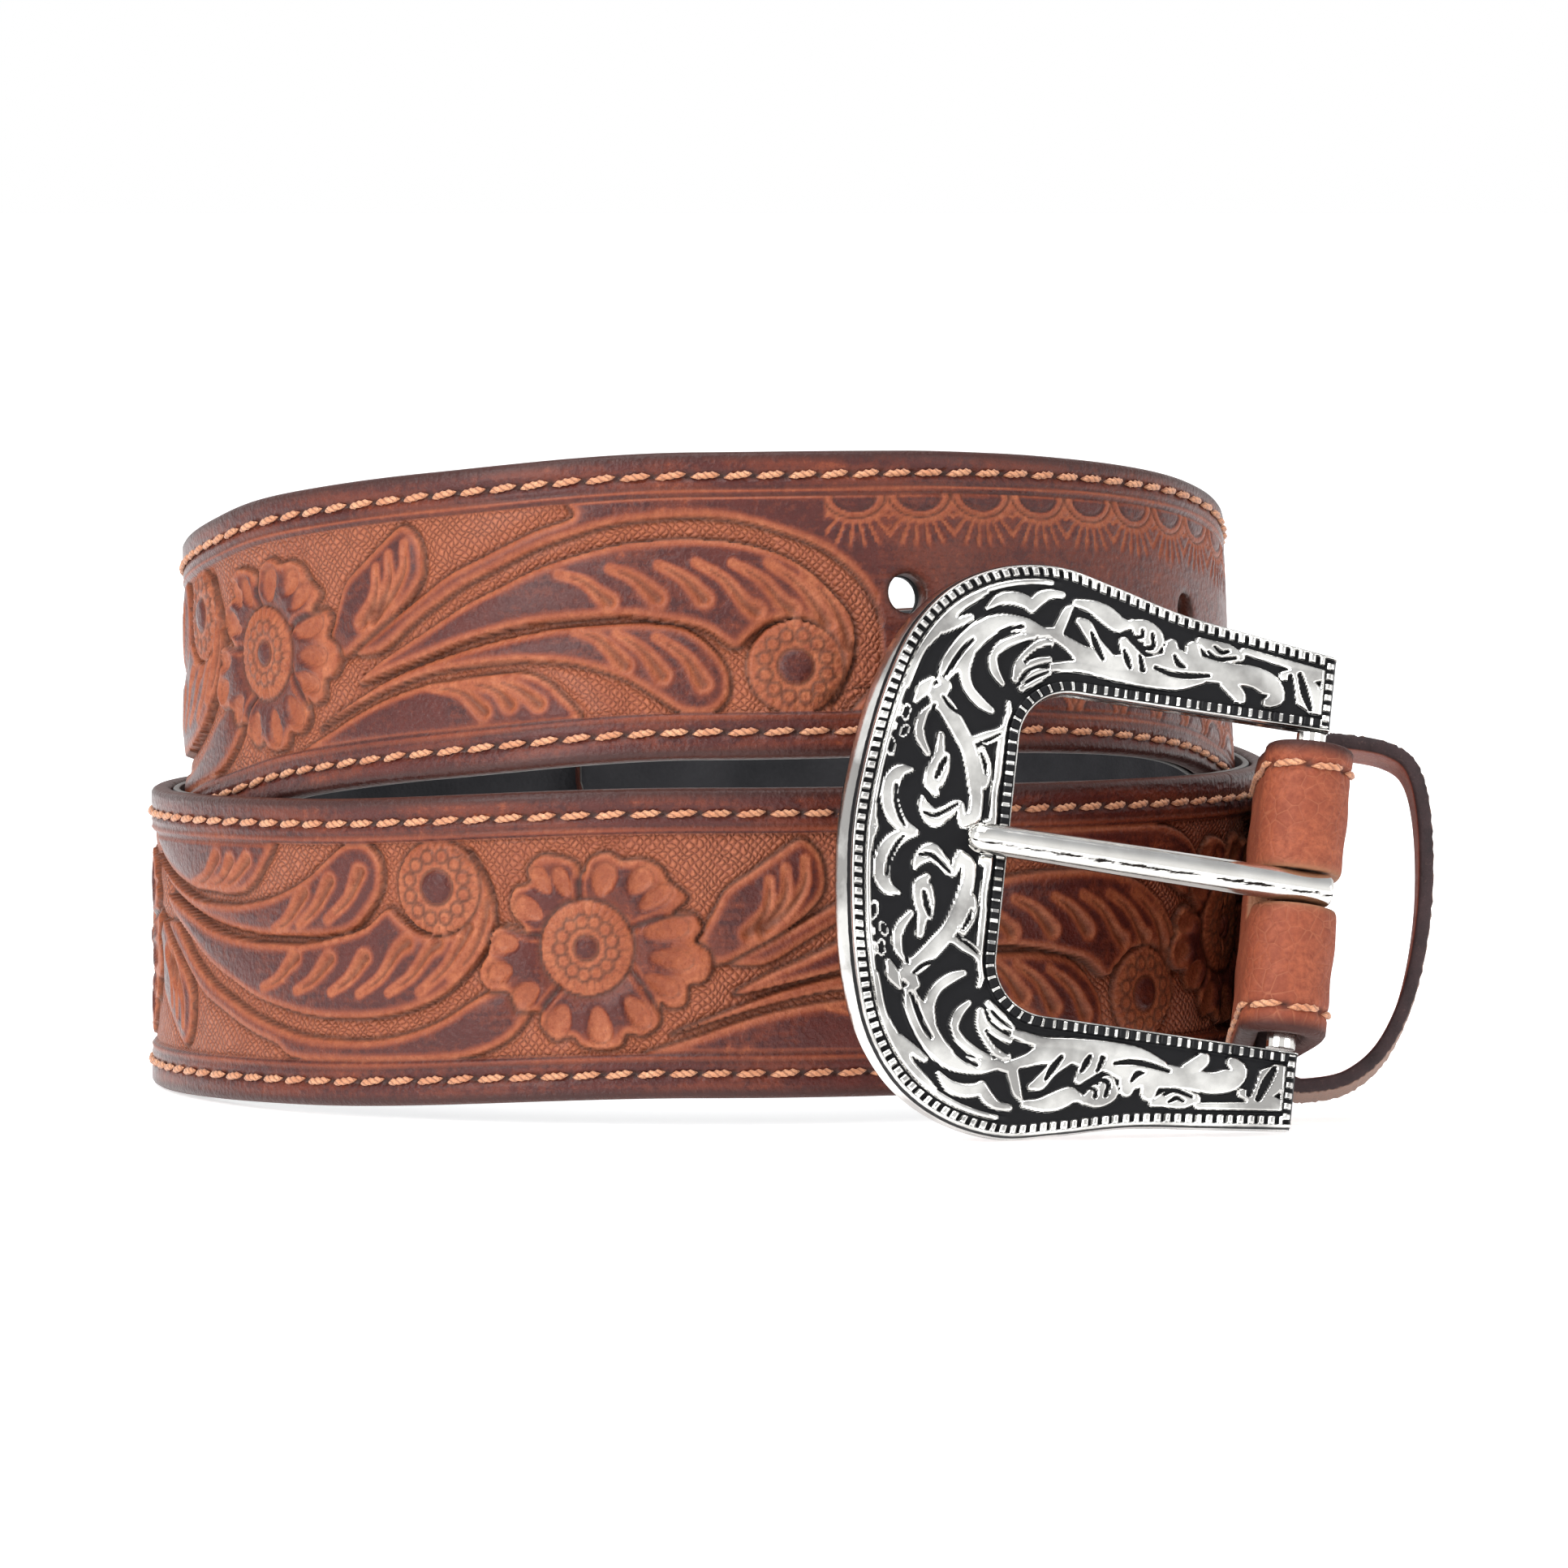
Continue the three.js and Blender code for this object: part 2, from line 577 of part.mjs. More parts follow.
function makeBar() {
  const rod = new THREE.CylinderGeometry(BAR_RADIUS, BAR_RADIUS, 2 * (WINDOW_HALF_HEIGHT - LAYER_GAP), 16);
  return rod.applyMatrix4(buckleMatrix());
}

// The prong: an eye that turns on the bar and a round shaft that lies over the frame's closed end.
function makeProng() {
  const eye = new THREE.CylinderGeometry(PRONG_EYE_RADIUS, PRONG_EYE_RADIUS, 2 * PRONG_RADIUS, 20);
  const hole = new THREE.CylinderGeometry(PRONG_EYE_HOLE, PRONG_EYE_HOLE, 3 * PRONG_RADIUS, 20);
  const profile = [new THREE.Vector2(0, 0), new THREE.Vector2(PRONG_RADIUS, 0)];
  const tipStart = PRONG_LENGTH - PRONG_RADIUS;
  for (let angle = 0; angle <= 90; angle += 22.5) {
    const a = radians(angle);
    profile.push(new THREE.Vector2(
      PRONG_RADIUS * Math.cos(a) * 0.94 + 1e-9, tipStart + PRONG_RADIUS * Math.sin(a)));
  }
  profile.at(-1).x = 0;
  const shaft = new THREE.LatheGeometry(profile, 14);
  const rootLevel = PRONG_EYE_RADIUS - PRONG_RADIUS;
  const tipLevel = RIM_LEVEL + LAYER_GAP + PRONG_RADIUS;
  const tilt = Math.atan2(tipLevel - rootLevel, WINDOW_END);
  shaft.rotateZ(-Math.PI / 2).rotateY(tilt).translate(0, 0, -rootLevel);
  const solid = toSolid(eye).add(toSolid(shaft)).subtract(toSolid(hole));
  return toGeometry(solid).applyMatrix4(buckleMatrix());
}

function piece(name, geometry, look) {
  const flat = geometry.clone();
  flat.deleteAttribute('normal');
  flat.deleteAttribute('uv');
  const closed = mergeVertices(flat, 1e-4);
  closed.computeVertexNormals();
  const mesh = new THREE.Mesh(closed, new THREE.MeshStandardMaterial(look));
  mesh.name = name;
  return mesh;
}

const belt = new THREE.Group();
belt.add(
  piece('strap_leather', makeLeather(), leatherLook),
  piece('strap_lining', makeLining(), liningLook),
  piece('keeper_loop', makeKeeper(), leatherLook),
  piece('buckle_frame', makeFrame(), silverLook),
  piece('buckle_bar', makeBar(), silverLook),
  piece('prong', makeProng(), silverLook),
);

// The origin is under the middle of the whole belt, at the height of the surface that it stands on.
const extent = new THREE.Box3().setFromObject(belt);
const middle = extent.getCenter(new THREE.Vector3());
belt.position.set(-middle.x, -middle.y, -extent.min.z);

export default belt;
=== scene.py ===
from math import radians
import bpy
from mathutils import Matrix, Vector
import numpy as np


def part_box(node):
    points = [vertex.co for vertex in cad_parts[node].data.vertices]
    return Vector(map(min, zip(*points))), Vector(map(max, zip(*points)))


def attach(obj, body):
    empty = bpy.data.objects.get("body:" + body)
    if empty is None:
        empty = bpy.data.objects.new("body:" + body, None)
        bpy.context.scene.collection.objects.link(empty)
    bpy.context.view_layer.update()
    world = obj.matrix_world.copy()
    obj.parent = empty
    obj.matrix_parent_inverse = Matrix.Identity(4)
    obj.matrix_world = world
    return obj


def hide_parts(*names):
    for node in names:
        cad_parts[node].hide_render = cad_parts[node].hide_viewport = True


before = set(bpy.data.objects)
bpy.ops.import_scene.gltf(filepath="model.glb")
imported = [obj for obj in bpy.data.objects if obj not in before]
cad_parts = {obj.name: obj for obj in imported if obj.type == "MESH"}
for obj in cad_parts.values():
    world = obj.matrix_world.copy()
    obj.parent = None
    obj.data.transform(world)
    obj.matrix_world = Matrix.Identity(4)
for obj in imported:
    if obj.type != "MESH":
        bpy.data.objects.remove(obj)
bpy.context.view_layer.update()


# The set: a white studio table that runs out of sight, a long lens a little above the belt,
# three soft boxes and a pale room. Nothing here belongs to the belt.
CAMERA_PLACE = (0.000608, -1.360441, 0.115)
CAMERA_PITCH = 3.214
LENS_MM = 245.14
SENSOR_MM = 36.0
BELT_MIDDLE = (0.0, 0.0, 0.04)
TABLE_REACH = 40.0

camera_data = bpy.data.cameras.new("long_lens")
camera_data.lens = LENS_MM
camera_data.sensor_width = SENSOR_MM
camera_data.sensor_fit = "HORIZONTAL"
camera_data.clip_end = 100.0
camera = bpy.data.objects.new("long_lens", camera_data)
camera.location = CAMERA_PLACE
camera.rotation_euler = (radians(90.0 - CAMERA_PITCH), 0.0, 0.0)
bpy.context.collection.objects.link(camera)
bpy.context.scene.camera = camera
bpy.context.scene.view_settings.view_transform = "Standard"


def put(tree, socket, value):
    """Links another socket to this one, or types a plain number or colour into it."""
    if isinstance(value, bpy.types.NodeSocket):
        tree.links.new(value, socket)
    else:
        socket.default_value = value


def plugged(tree, kind, settings=None, **inputs):
    """A shader node of one kind, with its settings made and each named input filled."""
    node = tree.nodes.new("ShaderNode" + kind)
    for name, value in (settings or {}).items():
        setattr(node, name, value)
    for name, value in inputs.items():
        put(tree, node.inputs[name.replace("_", " ")], value)
    return node


def mixed(tree, part, first, second):
    """The colour between first and second that lies the given part of the way along."""
    node = plugged(tree, "Mix", {"data_type": "RGBA"})
    for number, value in ((0, part), (6, first), (7, second)):
        put(tree, node.inputs[number], value)
    return node.outputs[2]


def sum_up(tree, operation, *values):
    """One sum, such as ADD or MULTIPLY, worked out on sockets and plain numbers."""
    node = plugged(tree, "Math", {"operation": operation})
    for socket, value in zip(node.inputs, values):
        put(tree, socket, value)
    return node.outputs[0]


def ramp(tree, value, low, high, start=0.0, end=1.0):
    """The value spread from one range to another and held at its ends."""
    inputs = dict(Value=value, From_Min=low, From_Max=high, To_Min=start, To_Max=end)
    return plugged(tree, "MapRange", **inputs).outputs["Result"]


def new_finish(name):
    """A material with nodes, its node tree and its shader."""
    finish = bpy.data.materials.new(name)
    finish.use_nodes = True
    return finish, finish.node_tree, finish.node_tree.nodes["Principled BSDF"]


def fill(tree, node, **inputs):
    """Links or types each named input of a node that is there already."""
    for name, value in inputs.items():
        put(tree, node.inputs[name.replace("_", " ")], value)


def table_top():
    """A flat round sheet eighty metres across at the height of the belt's lowest edge."""
    turn = np.linspace(0.0, 2.0 * np.pi, 96, endpoint=False)
    mesh = bpy.data.meshes.new("table_top")
    corners = np.column_stack([TABLE_REACH * np.cos(turn), TABLE_REACH * np.sin(turn), 0.0 * turn - 0.0001])
    mesh.from_pydata(corners.tolist(), [], [list(range(len(turn)))])
    sheet = bpy.data.objects.new("table_top", mesh)
    bpy.context.collection.objects.link(sheet)
    paper, tree, shader = new_finish("white_paper")
    fill(tree, shader, Base_Color=(0.9, 0.9, 0.9, 1.0), Roughness=0.7, Specular_IOR_Level=0.1,
         Emission_Color=(1.0, 1.0, 1.0, 1.0), Emission_Strength=0.62)
    mesh.materials.append(paper)


table_top()

room = bpy.data.worlds.new("pale_room")
room.use_nodes = True
room_tree = room.node_tree
direction = plugged(room_tree, "TexCoord").outputs["Generated"]
upward = plugged(room_tree, "SeparateXYZ", Vector=direction).outputs["Z"]
room_light = mixed(room_tree, ramp(room_tree, upward, 0.3, 0.9), (1.0, 1.0, 1.0, 1.0),
                   (0.45, 0.46, 0.48, 1.0))
fill(room_tree, room_tree.nodes["Background"], Color=room_light, Strength=1.0)
bpy.context.scene.world = room


def soft_box(name, place, size, power):
    """A square white lamp that faces the middle of the belt."""
    data = bpy.data.lights.new(name, "AREA")
    data.shape = "RECTANGLE"
    data.size, data.size_y = size
    data.energy = power
    lamp = bpy.data.objects.new(name, data)
    lamp.location = place
    lamp.rotation_mode = "QUATERNION"
    lamp.rotation_quaternion = (Vector(BELT_MIDDLE) - Vector(place)).to_track_quat("-Z", "Y")
    bpy.context.collection.objects.link(lamp)


soft_box("box_overhead", (-0.1, -0.35, 1.3), (1.2, 1.0), 16.0)
soft_box("box_front_left", (-0.9, -1.0, 0.6), (0.5, 0.7), 12.0)
soft_box("box_front_right", (1.1, -0.8, 0.5), (0.35, 0.6), 3.0)


# The strap: one length of vegetable-tanned leather, 38 mm wide, coiled a little over two turns and
# standing on its edge. It runs from the bar round to the left, climbs over itself and ends inside.
STRAP_WIDTH = 38.0
HALF_WIDTH = STRAP_WIDTH / 2
NARROW = 18.0
TAPER_START = 865.0
TAPER_LENGTH = 75.0
STRAIGHT_RUN = 75.0
FOLD_BLEND = 15.0
BAR_X = 72.7
BAR_HEIGHT = 29.0
BAR_SLOPE = 0.242
BAR_LEAN = -5.9
FOLD_DEPTH = -1.9
TIP_LENGTH = 24.0
TIP_HALF_WIDTH = 4.0
LEATHER_THICKNESS = 2.5
TURN_STEP = 0.4
LEFT_RADIUS = 70.7
BACK_RADIUS = 74.0
COIL_MM = np.array([
    (0, 75.5, 0, -4), (20, 75.2, 0, -3.2), (45, 74.4, 0, -1), (90, 74.0, 0, 0), (135, 72.4, 0, 0),
    (180, 70.7, 0, 0), (225, 70.7, 1, 0), (270, 70.7, 3.5, 0), (295, 70.9, 3.5, 0), (318, 71.6, 3.3, -1),
    (338, 72.2, 3.1, -2.5), (350, 71.9, 3.1, -3.5), (360, 71.6, 3.2, -4), (380, 71.3, 4.4, -3.2),
    (405, 70.4, 9.8, -1), (450, 70.0, 17.5, 0), (495, 68.3, 24.5, 0), (540, 66.6, 30.4, 0),
    (565, 66.3, 35.5, 0.3), (575, 66.1, 38, 1), (585, 66.3, 39.8, 3.5), (600, 66.6, 42.1, 7.5),
    (630, 67.2, 45.3, 12), (653, 67.4, 45.4, 11), (664, 67.5, 45.05, 10), (675, 67.5, 44.2, 8.5),
    (689, 67.4, 42.4, 5.5), (700, 67.2, 40.3, 3.6), (710, 67.5, 37.4, 3), (718, 67.6, 35, 3),
    (728, 67.3, 32.2, 3), (740, 66.5, 29.3, 2.6), (760, 65.6, 25.2, 2.5), (785, 64.9, 21.5, 2.5),
    (826, 64.3, 20, 2.5)], float)
strap_low, strap_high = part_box("strap_leather")
COIL_CENTRE = np.array([strap_low[0] * 1000 + LEFT_RADIUS, strap_high[1] * 1000 - BACK_RADIUS, 0.0])


def steady_curve(x, y, at):
    """A cubic through every pair of points that never overshoots them: slopes are weighted harmonic means."""
    span = np.diff(x)
    rise = np.diff(y) / span
    slope = np.zeros(len(x))
    before, after = rise[:-1], rise[1:]
    heavy, light = 2 * span[1:] + span[:-1], span[1:] + 2 * span[:-1]
    same = before * after > 0
    safe_before, safe_after = np.where(same, before, 1.0), np.where(same, after, 1.0)
    slope[1:-1] = np.where(same, (heavy + light) / (heavy / safe_before + light / safe_after), 0.0)
    slope[-1] = rise[-1]
    i = np.clip(np.searchsorted(x, at, side="right") - 1, 0, len(span) - 1)
    s = (at - x[i]) / span[i]
    start = (1 + 2 * s) * (1 - s) ** 2 * y[i] + s * (1 - s) ** 2 * span[i] * slope[i]
    return start + s * s * (3 - 2 * s) * y[i + 1] + s * s * (s - 1) * span[i] * slope[i + 1]


def settled(x):
    """A smooth step from 0 to 1."""
    x = np.clip(x, 0, 1)
    return x * x * (3 - 2 * x)


def bell(x, width):
    """A bell curve: exp(-(x / width) squared)."""
    return np.exp(-(x / width) ** 2)


def walk_the_strap():
    """The middle line of the grain face and its axes along, across and out, by length from the bar.

    The first 75 mm run straight back, sink in a parabola and take on the coil's own lean. After that a point
    is the radius times (cos turn, sin turn), lifted by half the width on top of the coil's rise."""
    y = np.arange(-12.0, STRAIGHT_RUN, 0.5)
    left = (1 - y / STRAIGHT_RUN) ** 2
    drop = BAR_HEIGHT - STRAP_WIDTH / 2
    fall = np.where(y < 0, 1 - BAR_SLOPE * y / drop, left)
    near = settled(y / STRAIGHT_RUN)
    x = (BAR_X - FOLD_DEPTH) * (1 - near) + COIL_MM[0, 1] * near
    run = np.column_stack([x, y - STRAIGHT_RUN, STRAP_WIDTH / 2 + drop * fall])
    turn = np.arange(0.0, COIL_MM[-1, 0] + 0.01, TURN_STEP)
    radius, rise, coil_lean = (steady_curve(COIL_MM[:, 0], COIL_MM[:, k], turn) for k in (1, 2, 3))
    a = np.radians(turn)
    height = rise + STRAP_WIDTH / 2 * np.cos(np.radians(coil_lean))
    coil = np.column_stack([radius * np.cos(a), radius * np.sin(a), height])
    middle = np.vstack([run, coil])
    lean = np.radians(np.concatenate([BAR_LEAN * (1 - near) + COIL_MM[0, 3] * near, coil_lean]))[:, None]
    out = np.vstack([np.tile([1.0, 0, 0], (len(y), 1)), np.column_stack([np.cos(a), np.sin(a), 0 * a])])
    along = np.gradient(middle, axis=0)
    along /= np.linalg.norm(along, axis=1)[:, None]
    across = np.cos(lean) * np.array([0, 0, 1.0]) - np.sin(lean) * out
    across -= (across * along).sum(1)[:, None] * along
    across /= np.linalg.norm(across, axis=1)[:, None]
    length = np.concatenate([[0], np.cumsum(np.linalg.norm(np.diff(middle, axis=0), axis=1))])
    length -= np.interp(-STRAIGHT_RUN, run[:, 1], length[:len(run)])
    return length, middle + COIL_CENTRE, along, across, np.cross(along, across)


WALK, MIDDLE, ALONG, ACROSS, OUT = walk_the_strap()
STRAP_LENGTH = WALK[-1]


def strap_axes(length):
    """The middle line's place and the axes along, across and out, read off between the walked points."""
    return [np.stack([np.interp(length, WALK, axis[:, k]) for k in range(3)], -1)
            for axis in (MIDDLE, ALONG, ACROSS, OUT)]


def on_strap(length, across, out):
    """Places in mm from length along the strap, place across its width and height above the grain face."""
    length, across, out = np.broadcast_arrays(length, across, out)
    middle, _, over, up = strap_axes(length)
    return middle + across[..., None] * over + out[..., None] * up


def half_width(length):
    """Half the strap's width: 18 mm at the fold, 19 mm after it, 18 mm at the holes, then a rounded tip."""
    wide = NARROW + 1.0 * settled(length / FOLD_BLEND) - 1.0 * settled((length - TAPER_START) / TAPER_LENGTH)
    into = np.clip((length - (STRAP_LENGTH - TIP_LENGTH)) / TIP_LENGTH, 0, 1)
    return TIP_HALF_WIDTH + (wide - TIP_HALF_WIDTH) * np.sqrt(1 - into ** 2.2)


# The tooling: the pattern is pressed and cut into the wet leather. Flowers 96.6 mm apart are joined by leafy
# scrolls that swing up and down in turn; the ground round them is matted and the high parts are stained.
FIRST_FLOWER = 18.0
FLOWER_PITCH = 96.6
LAST_FLOWER = 8
TOOLING_START = 50.0
TOOLING_END = FIRST_FLOWER + LAST_FLOWER * FLOWER_PITCH + 88.0
BORDER = 13.3
TILE_STEP = 0.15
TILE_X = np.arange(-16.0, 92.0, TILE_STEP)
TILE_W = np.arange(-14.1, 14.1 + TILE_STEP, TILE_STEP)

STEM = [(17.5, -2.3), (22, 0.3), (28, 3.3), (33, 6), (38, 7.8), (45, 10.3), (50, 11.6), (53, 13.2),
        (62, 13.6), (72, 13.6), (80, 13.2), (86, 11), (89, 7), (86.5, 4), (81, 6.3), (76.5, 8.6), (71, 10.2),
        (66, 10.8), (60, 10.7), (55, 10.3), (50, 9.3), (45, 8.0), (40, 6.2), (35, 4.4), (30, 1.9), (27, 0.2),
        (22, -2.6)]
LAST_STEM = STEM[:7] + [(53, 14.4), (92, 14.4), (92, -14.4), (83.5, -14.2), (87.4, -9.5), (88.4, -5),
                        (87.8, -1), (85.4, 3.2), (81.2, 6.6)] + STEM[15:]
BIG_LEAF = [(18, -6.3), (22, -3.9), (26, -2.2), (30, -0.4), (35, 2), (40, 3.8), (45, 5.6), (50, 6.8),
            (55, 7.7), (60, 8.1), (66, 8.1), (71, 7.5), (76, 6), (79.5, 3.8), (82.3, 1), (84.3, -2),
            (84.5, -6), (83.2, -9.5), (81.5, -12), (82.2, -8.5), (81.8, -5), (79.8, -2.6), (77, -1.8),
            (74, -2.3), (71.5, -4), (69.6, -5.4), (66, -3.1), (61, -1.9), (56, -1.1), (50, -1), (45, -1.1),
            (40, -1.6), (35, -2.4), (30, -3.7), (25, -4.9)]
LOW_LEAF = [(10, -11.2), (20, -7.2), (25, -5.6), (30, -4.4), (38, -2.9), (45, -2.1), (50, -1.8), (60, -2.1),
            (64, -3), (67.5, -6), (69, -9), (68.5, -12), (66, -13.7), (63, -13.3), (60, -11.5), (56, -9),
            (50, -6.8), (45, -5.9), (40, -5.5), (33, -5.7), (28, -6.3), (20, -8.2)]
FOOT_LEAF = [(6, -14.4), (14, -11.2), (20, -9.2), (25, -8), (30, -7.2), (35, -7), (40, -6.8), (44, -7.4),
             (47.5, -10), (49, -14.4), (30, -14.8)]
SIDE_LEAF = [(15.5, 4), (17, 6.6), (20, 8.7), (23, 10.8), (26.3, 12.7), (28.7, 10.7), (29.3, 7), (28, 4.5),
             (25, 2), (20, -0.8), (16, -2.6), (13, -1)]
LEAF_CUTS = [
    [(48, 4.6), (51, 3.5), (53, 1.8), (54.3, 0.7)], [(54.5, 4.8), (57.5, 3.4), (60.3, 0.8)],
    [(60.5, 4.9), (63.5, 3.2), (66, 0.6)], [(65, 5.1), (68.5, 3), (71, 0), (72.4, -1)],
    [(69.5, 5), (73, 3), (75.5, 0.2), (76.8, -0.8)], [(74, 5), (77.6, 2.4), (80, -0.6), (81.2, -2.6)],
    [(78.6, 3.4), (81.5, 0.4), (83.2, -3), (83.8, -5.6)], [(50, -2.6), (53, -4), (56, -7.3)],
    [(55, -3.3), (58.3, -5.6), (60.7, -8.8)], [(60, -4), (63.7, -6.6), (65.8, -9.9)],
    [(30, -7.7), (34.5, -8.8), (37.5, -11.4)], [(35, -7.6), (39, -8.8), (41, -10.9)],
    [(39, -7.7), (42.2, -9.1), (44.8, -11.2)], [(22.3, 7.8), (22, 4.2), (19.8, 1.2)],
    [(24.3, 9.2), (24.2, 5.5), (21.6, 2.1)], [(26.7, 10.3), (26.6, 7), (24.5, 4), (21.4, 1.4)]]
FLOWER_EDGE = [(-7.3, 9.6), (-5.5, 11.2), (-3.2, 11.0), (-1.2, 10.2), (-0.3, 8.8), (0.6, 10.6), (2.8, 11.3),
               (4.6, 10.3), (6.8, 10.4), (9.1, 9.4), (10.2, 7.6), (12.3, 5.6), (10.4, 3.8), (12.8, 3.8),
               (14.1, 2), (13.2, 0.3), (14.9, -1), (15.3, -3), (14.2, -4.7), (12.4, -5.1), (12, -7.4),
               (10, -7.9), (8.8, -7.2), (8.6, -9.8), (6.6, -11.2), (4.5, -10.9), (3.6, -12.4), (1.2, -12.8),
               (-1.4, -12.3), (-2.6, -11.1), (-5, -11.5), (-6.7, -9.6), (-6.8, -8), (-9.6, -7.7),
               (-10.7, -5.4), (-13.4, -5), (-14.5, -2.8), (-13.1, -0.6), (-12.5, 1.8), (-10.6, 2.9),
               (-8, 2.2), (-9.8, 4.6), (-9.2, 7.2), (-7.2, 7.8)]
PETAL_NOTCHES = [[(-0.3, 9.4), (-0.6, 7.6), (-0.7, 5.2)], [(13.4, 4.0), (9, 3.4), (5.6, 2.2)],
                 [(9.3, -8.6), (7.4, -5.4), (5.6, -3.0)], [(-6.9, -8.6), (-5.2, -6.4), (-3.6, -4.6)],
                 [(-11.8, 3.4), (-8.6, 2.2), (-5.6, 1.6)]]
PETAL_LOBES = [(-5.3, 8.4, 2.3, 1.35), (-2.7, 8.2, 2.3, 1.2), (2.5, 8.3, 2.5, 1.75), (6.9, 8.0, 2.2, 1.6),
               (8.7, 6.0, 2.7, 1.35), (10.1, 2.0, 3.3, 1.6), (10.7, -1.6, 3.2, 1.5), (9.4, -4.7, 2.8, 1.3),
               (6.2, -8.0, 2.7, 1.6), (1.3, -9.5, 2.7, 1.8), (-3.9, -8.9, 2.6, 1.8), (-8.1, -5.5, 2.4, 1.7),
               (-11.3, -2.6, 2.0, 1.5), (-10.4, 0.8, 2.1, 1.4), (-7.1, 5.0, 2.4, 1.6)]


def smooth_line(points, each=5, closed=False):
    """A curve through the points: each stretch is a cubic whose end slopes are half its neighbours' chord."""
    p = np.asarray(points, float)
    if closed:
        p = np.vstack([p[-1], p, p[:2]])
    else:
        p = np.vstack([2 * p[0] - p[1], p, 2 * p[-1] - p[-2]])
    s = np.linspace(0, 1, each, endpoint=False)[None, :, None]
    a, b, c, d = p[:-3, None], p[1:-2, None], p[2:-1, None], p[3:, None]
    line = 0.5 * (2 * b + (c - a) * s + (2 * a - 5 * b + 4 * c - d) * s ** 2
                  + (3 * b - a - 3 * c + d) * s ** 3)
    line = line.reshape(-1, p.shape[1])
    return line if closed else np.vstack([line, p[-2]])


def to_stretch(a, b, x, w):
    """The part of the way from a to b where the nearest point lies, held at both ends, and how far off it is,
    squared."""
    dx, dw = b[:2] - a[:2]
    part = np.clip(((x - a[0]) * dx + (w - a[1]) * dw) / (dx * dx + dw * dw + 1e-12), 0, 1)
    return part, (x - a[0] - part * dx) ** 2 + (w - a[1] - part * dw) ** 2


def depth_inside(outline, x, w):
    """Distance to the nearest edge of a closed outline, positive where the count of crossings is odd."""
    nearest = np.full(x.shape, 1e9)
    inside = np.zeros(x.shape, bool)
    for a, b in zip(outline, np.roll(outline, -1, axis=0)):
        nearest = np.minimum(nearest, to_stretch(a, b, x, w)[1])
        dx, dw = b - a
        crossed = (a[1] > w) != (b[1] > w)
        inside ^= crossed & (x < a[0] + (w - a[1]) * dx / (dw if dw else 1e-12))
    return np.where(inside, 1, -1) * np.sqrt(nearest)


def off_line(line, x, w):
    """Distance to the nearest point of an open line, and the third number that the line holds there."""
    nearest = np.full(x.shape, 1e9)
    held = np.zeros(x.shape)
    for a, b in zip(line[:-1], line[1:]):
        part, far = to_stretch(a, b, x, w)
        held = np.where(far < nearest, a[2] + part * (b[2] - a[2]), held)
        nearest = np.minimum(nearest, far)
    return np.sqrt(nearest), held


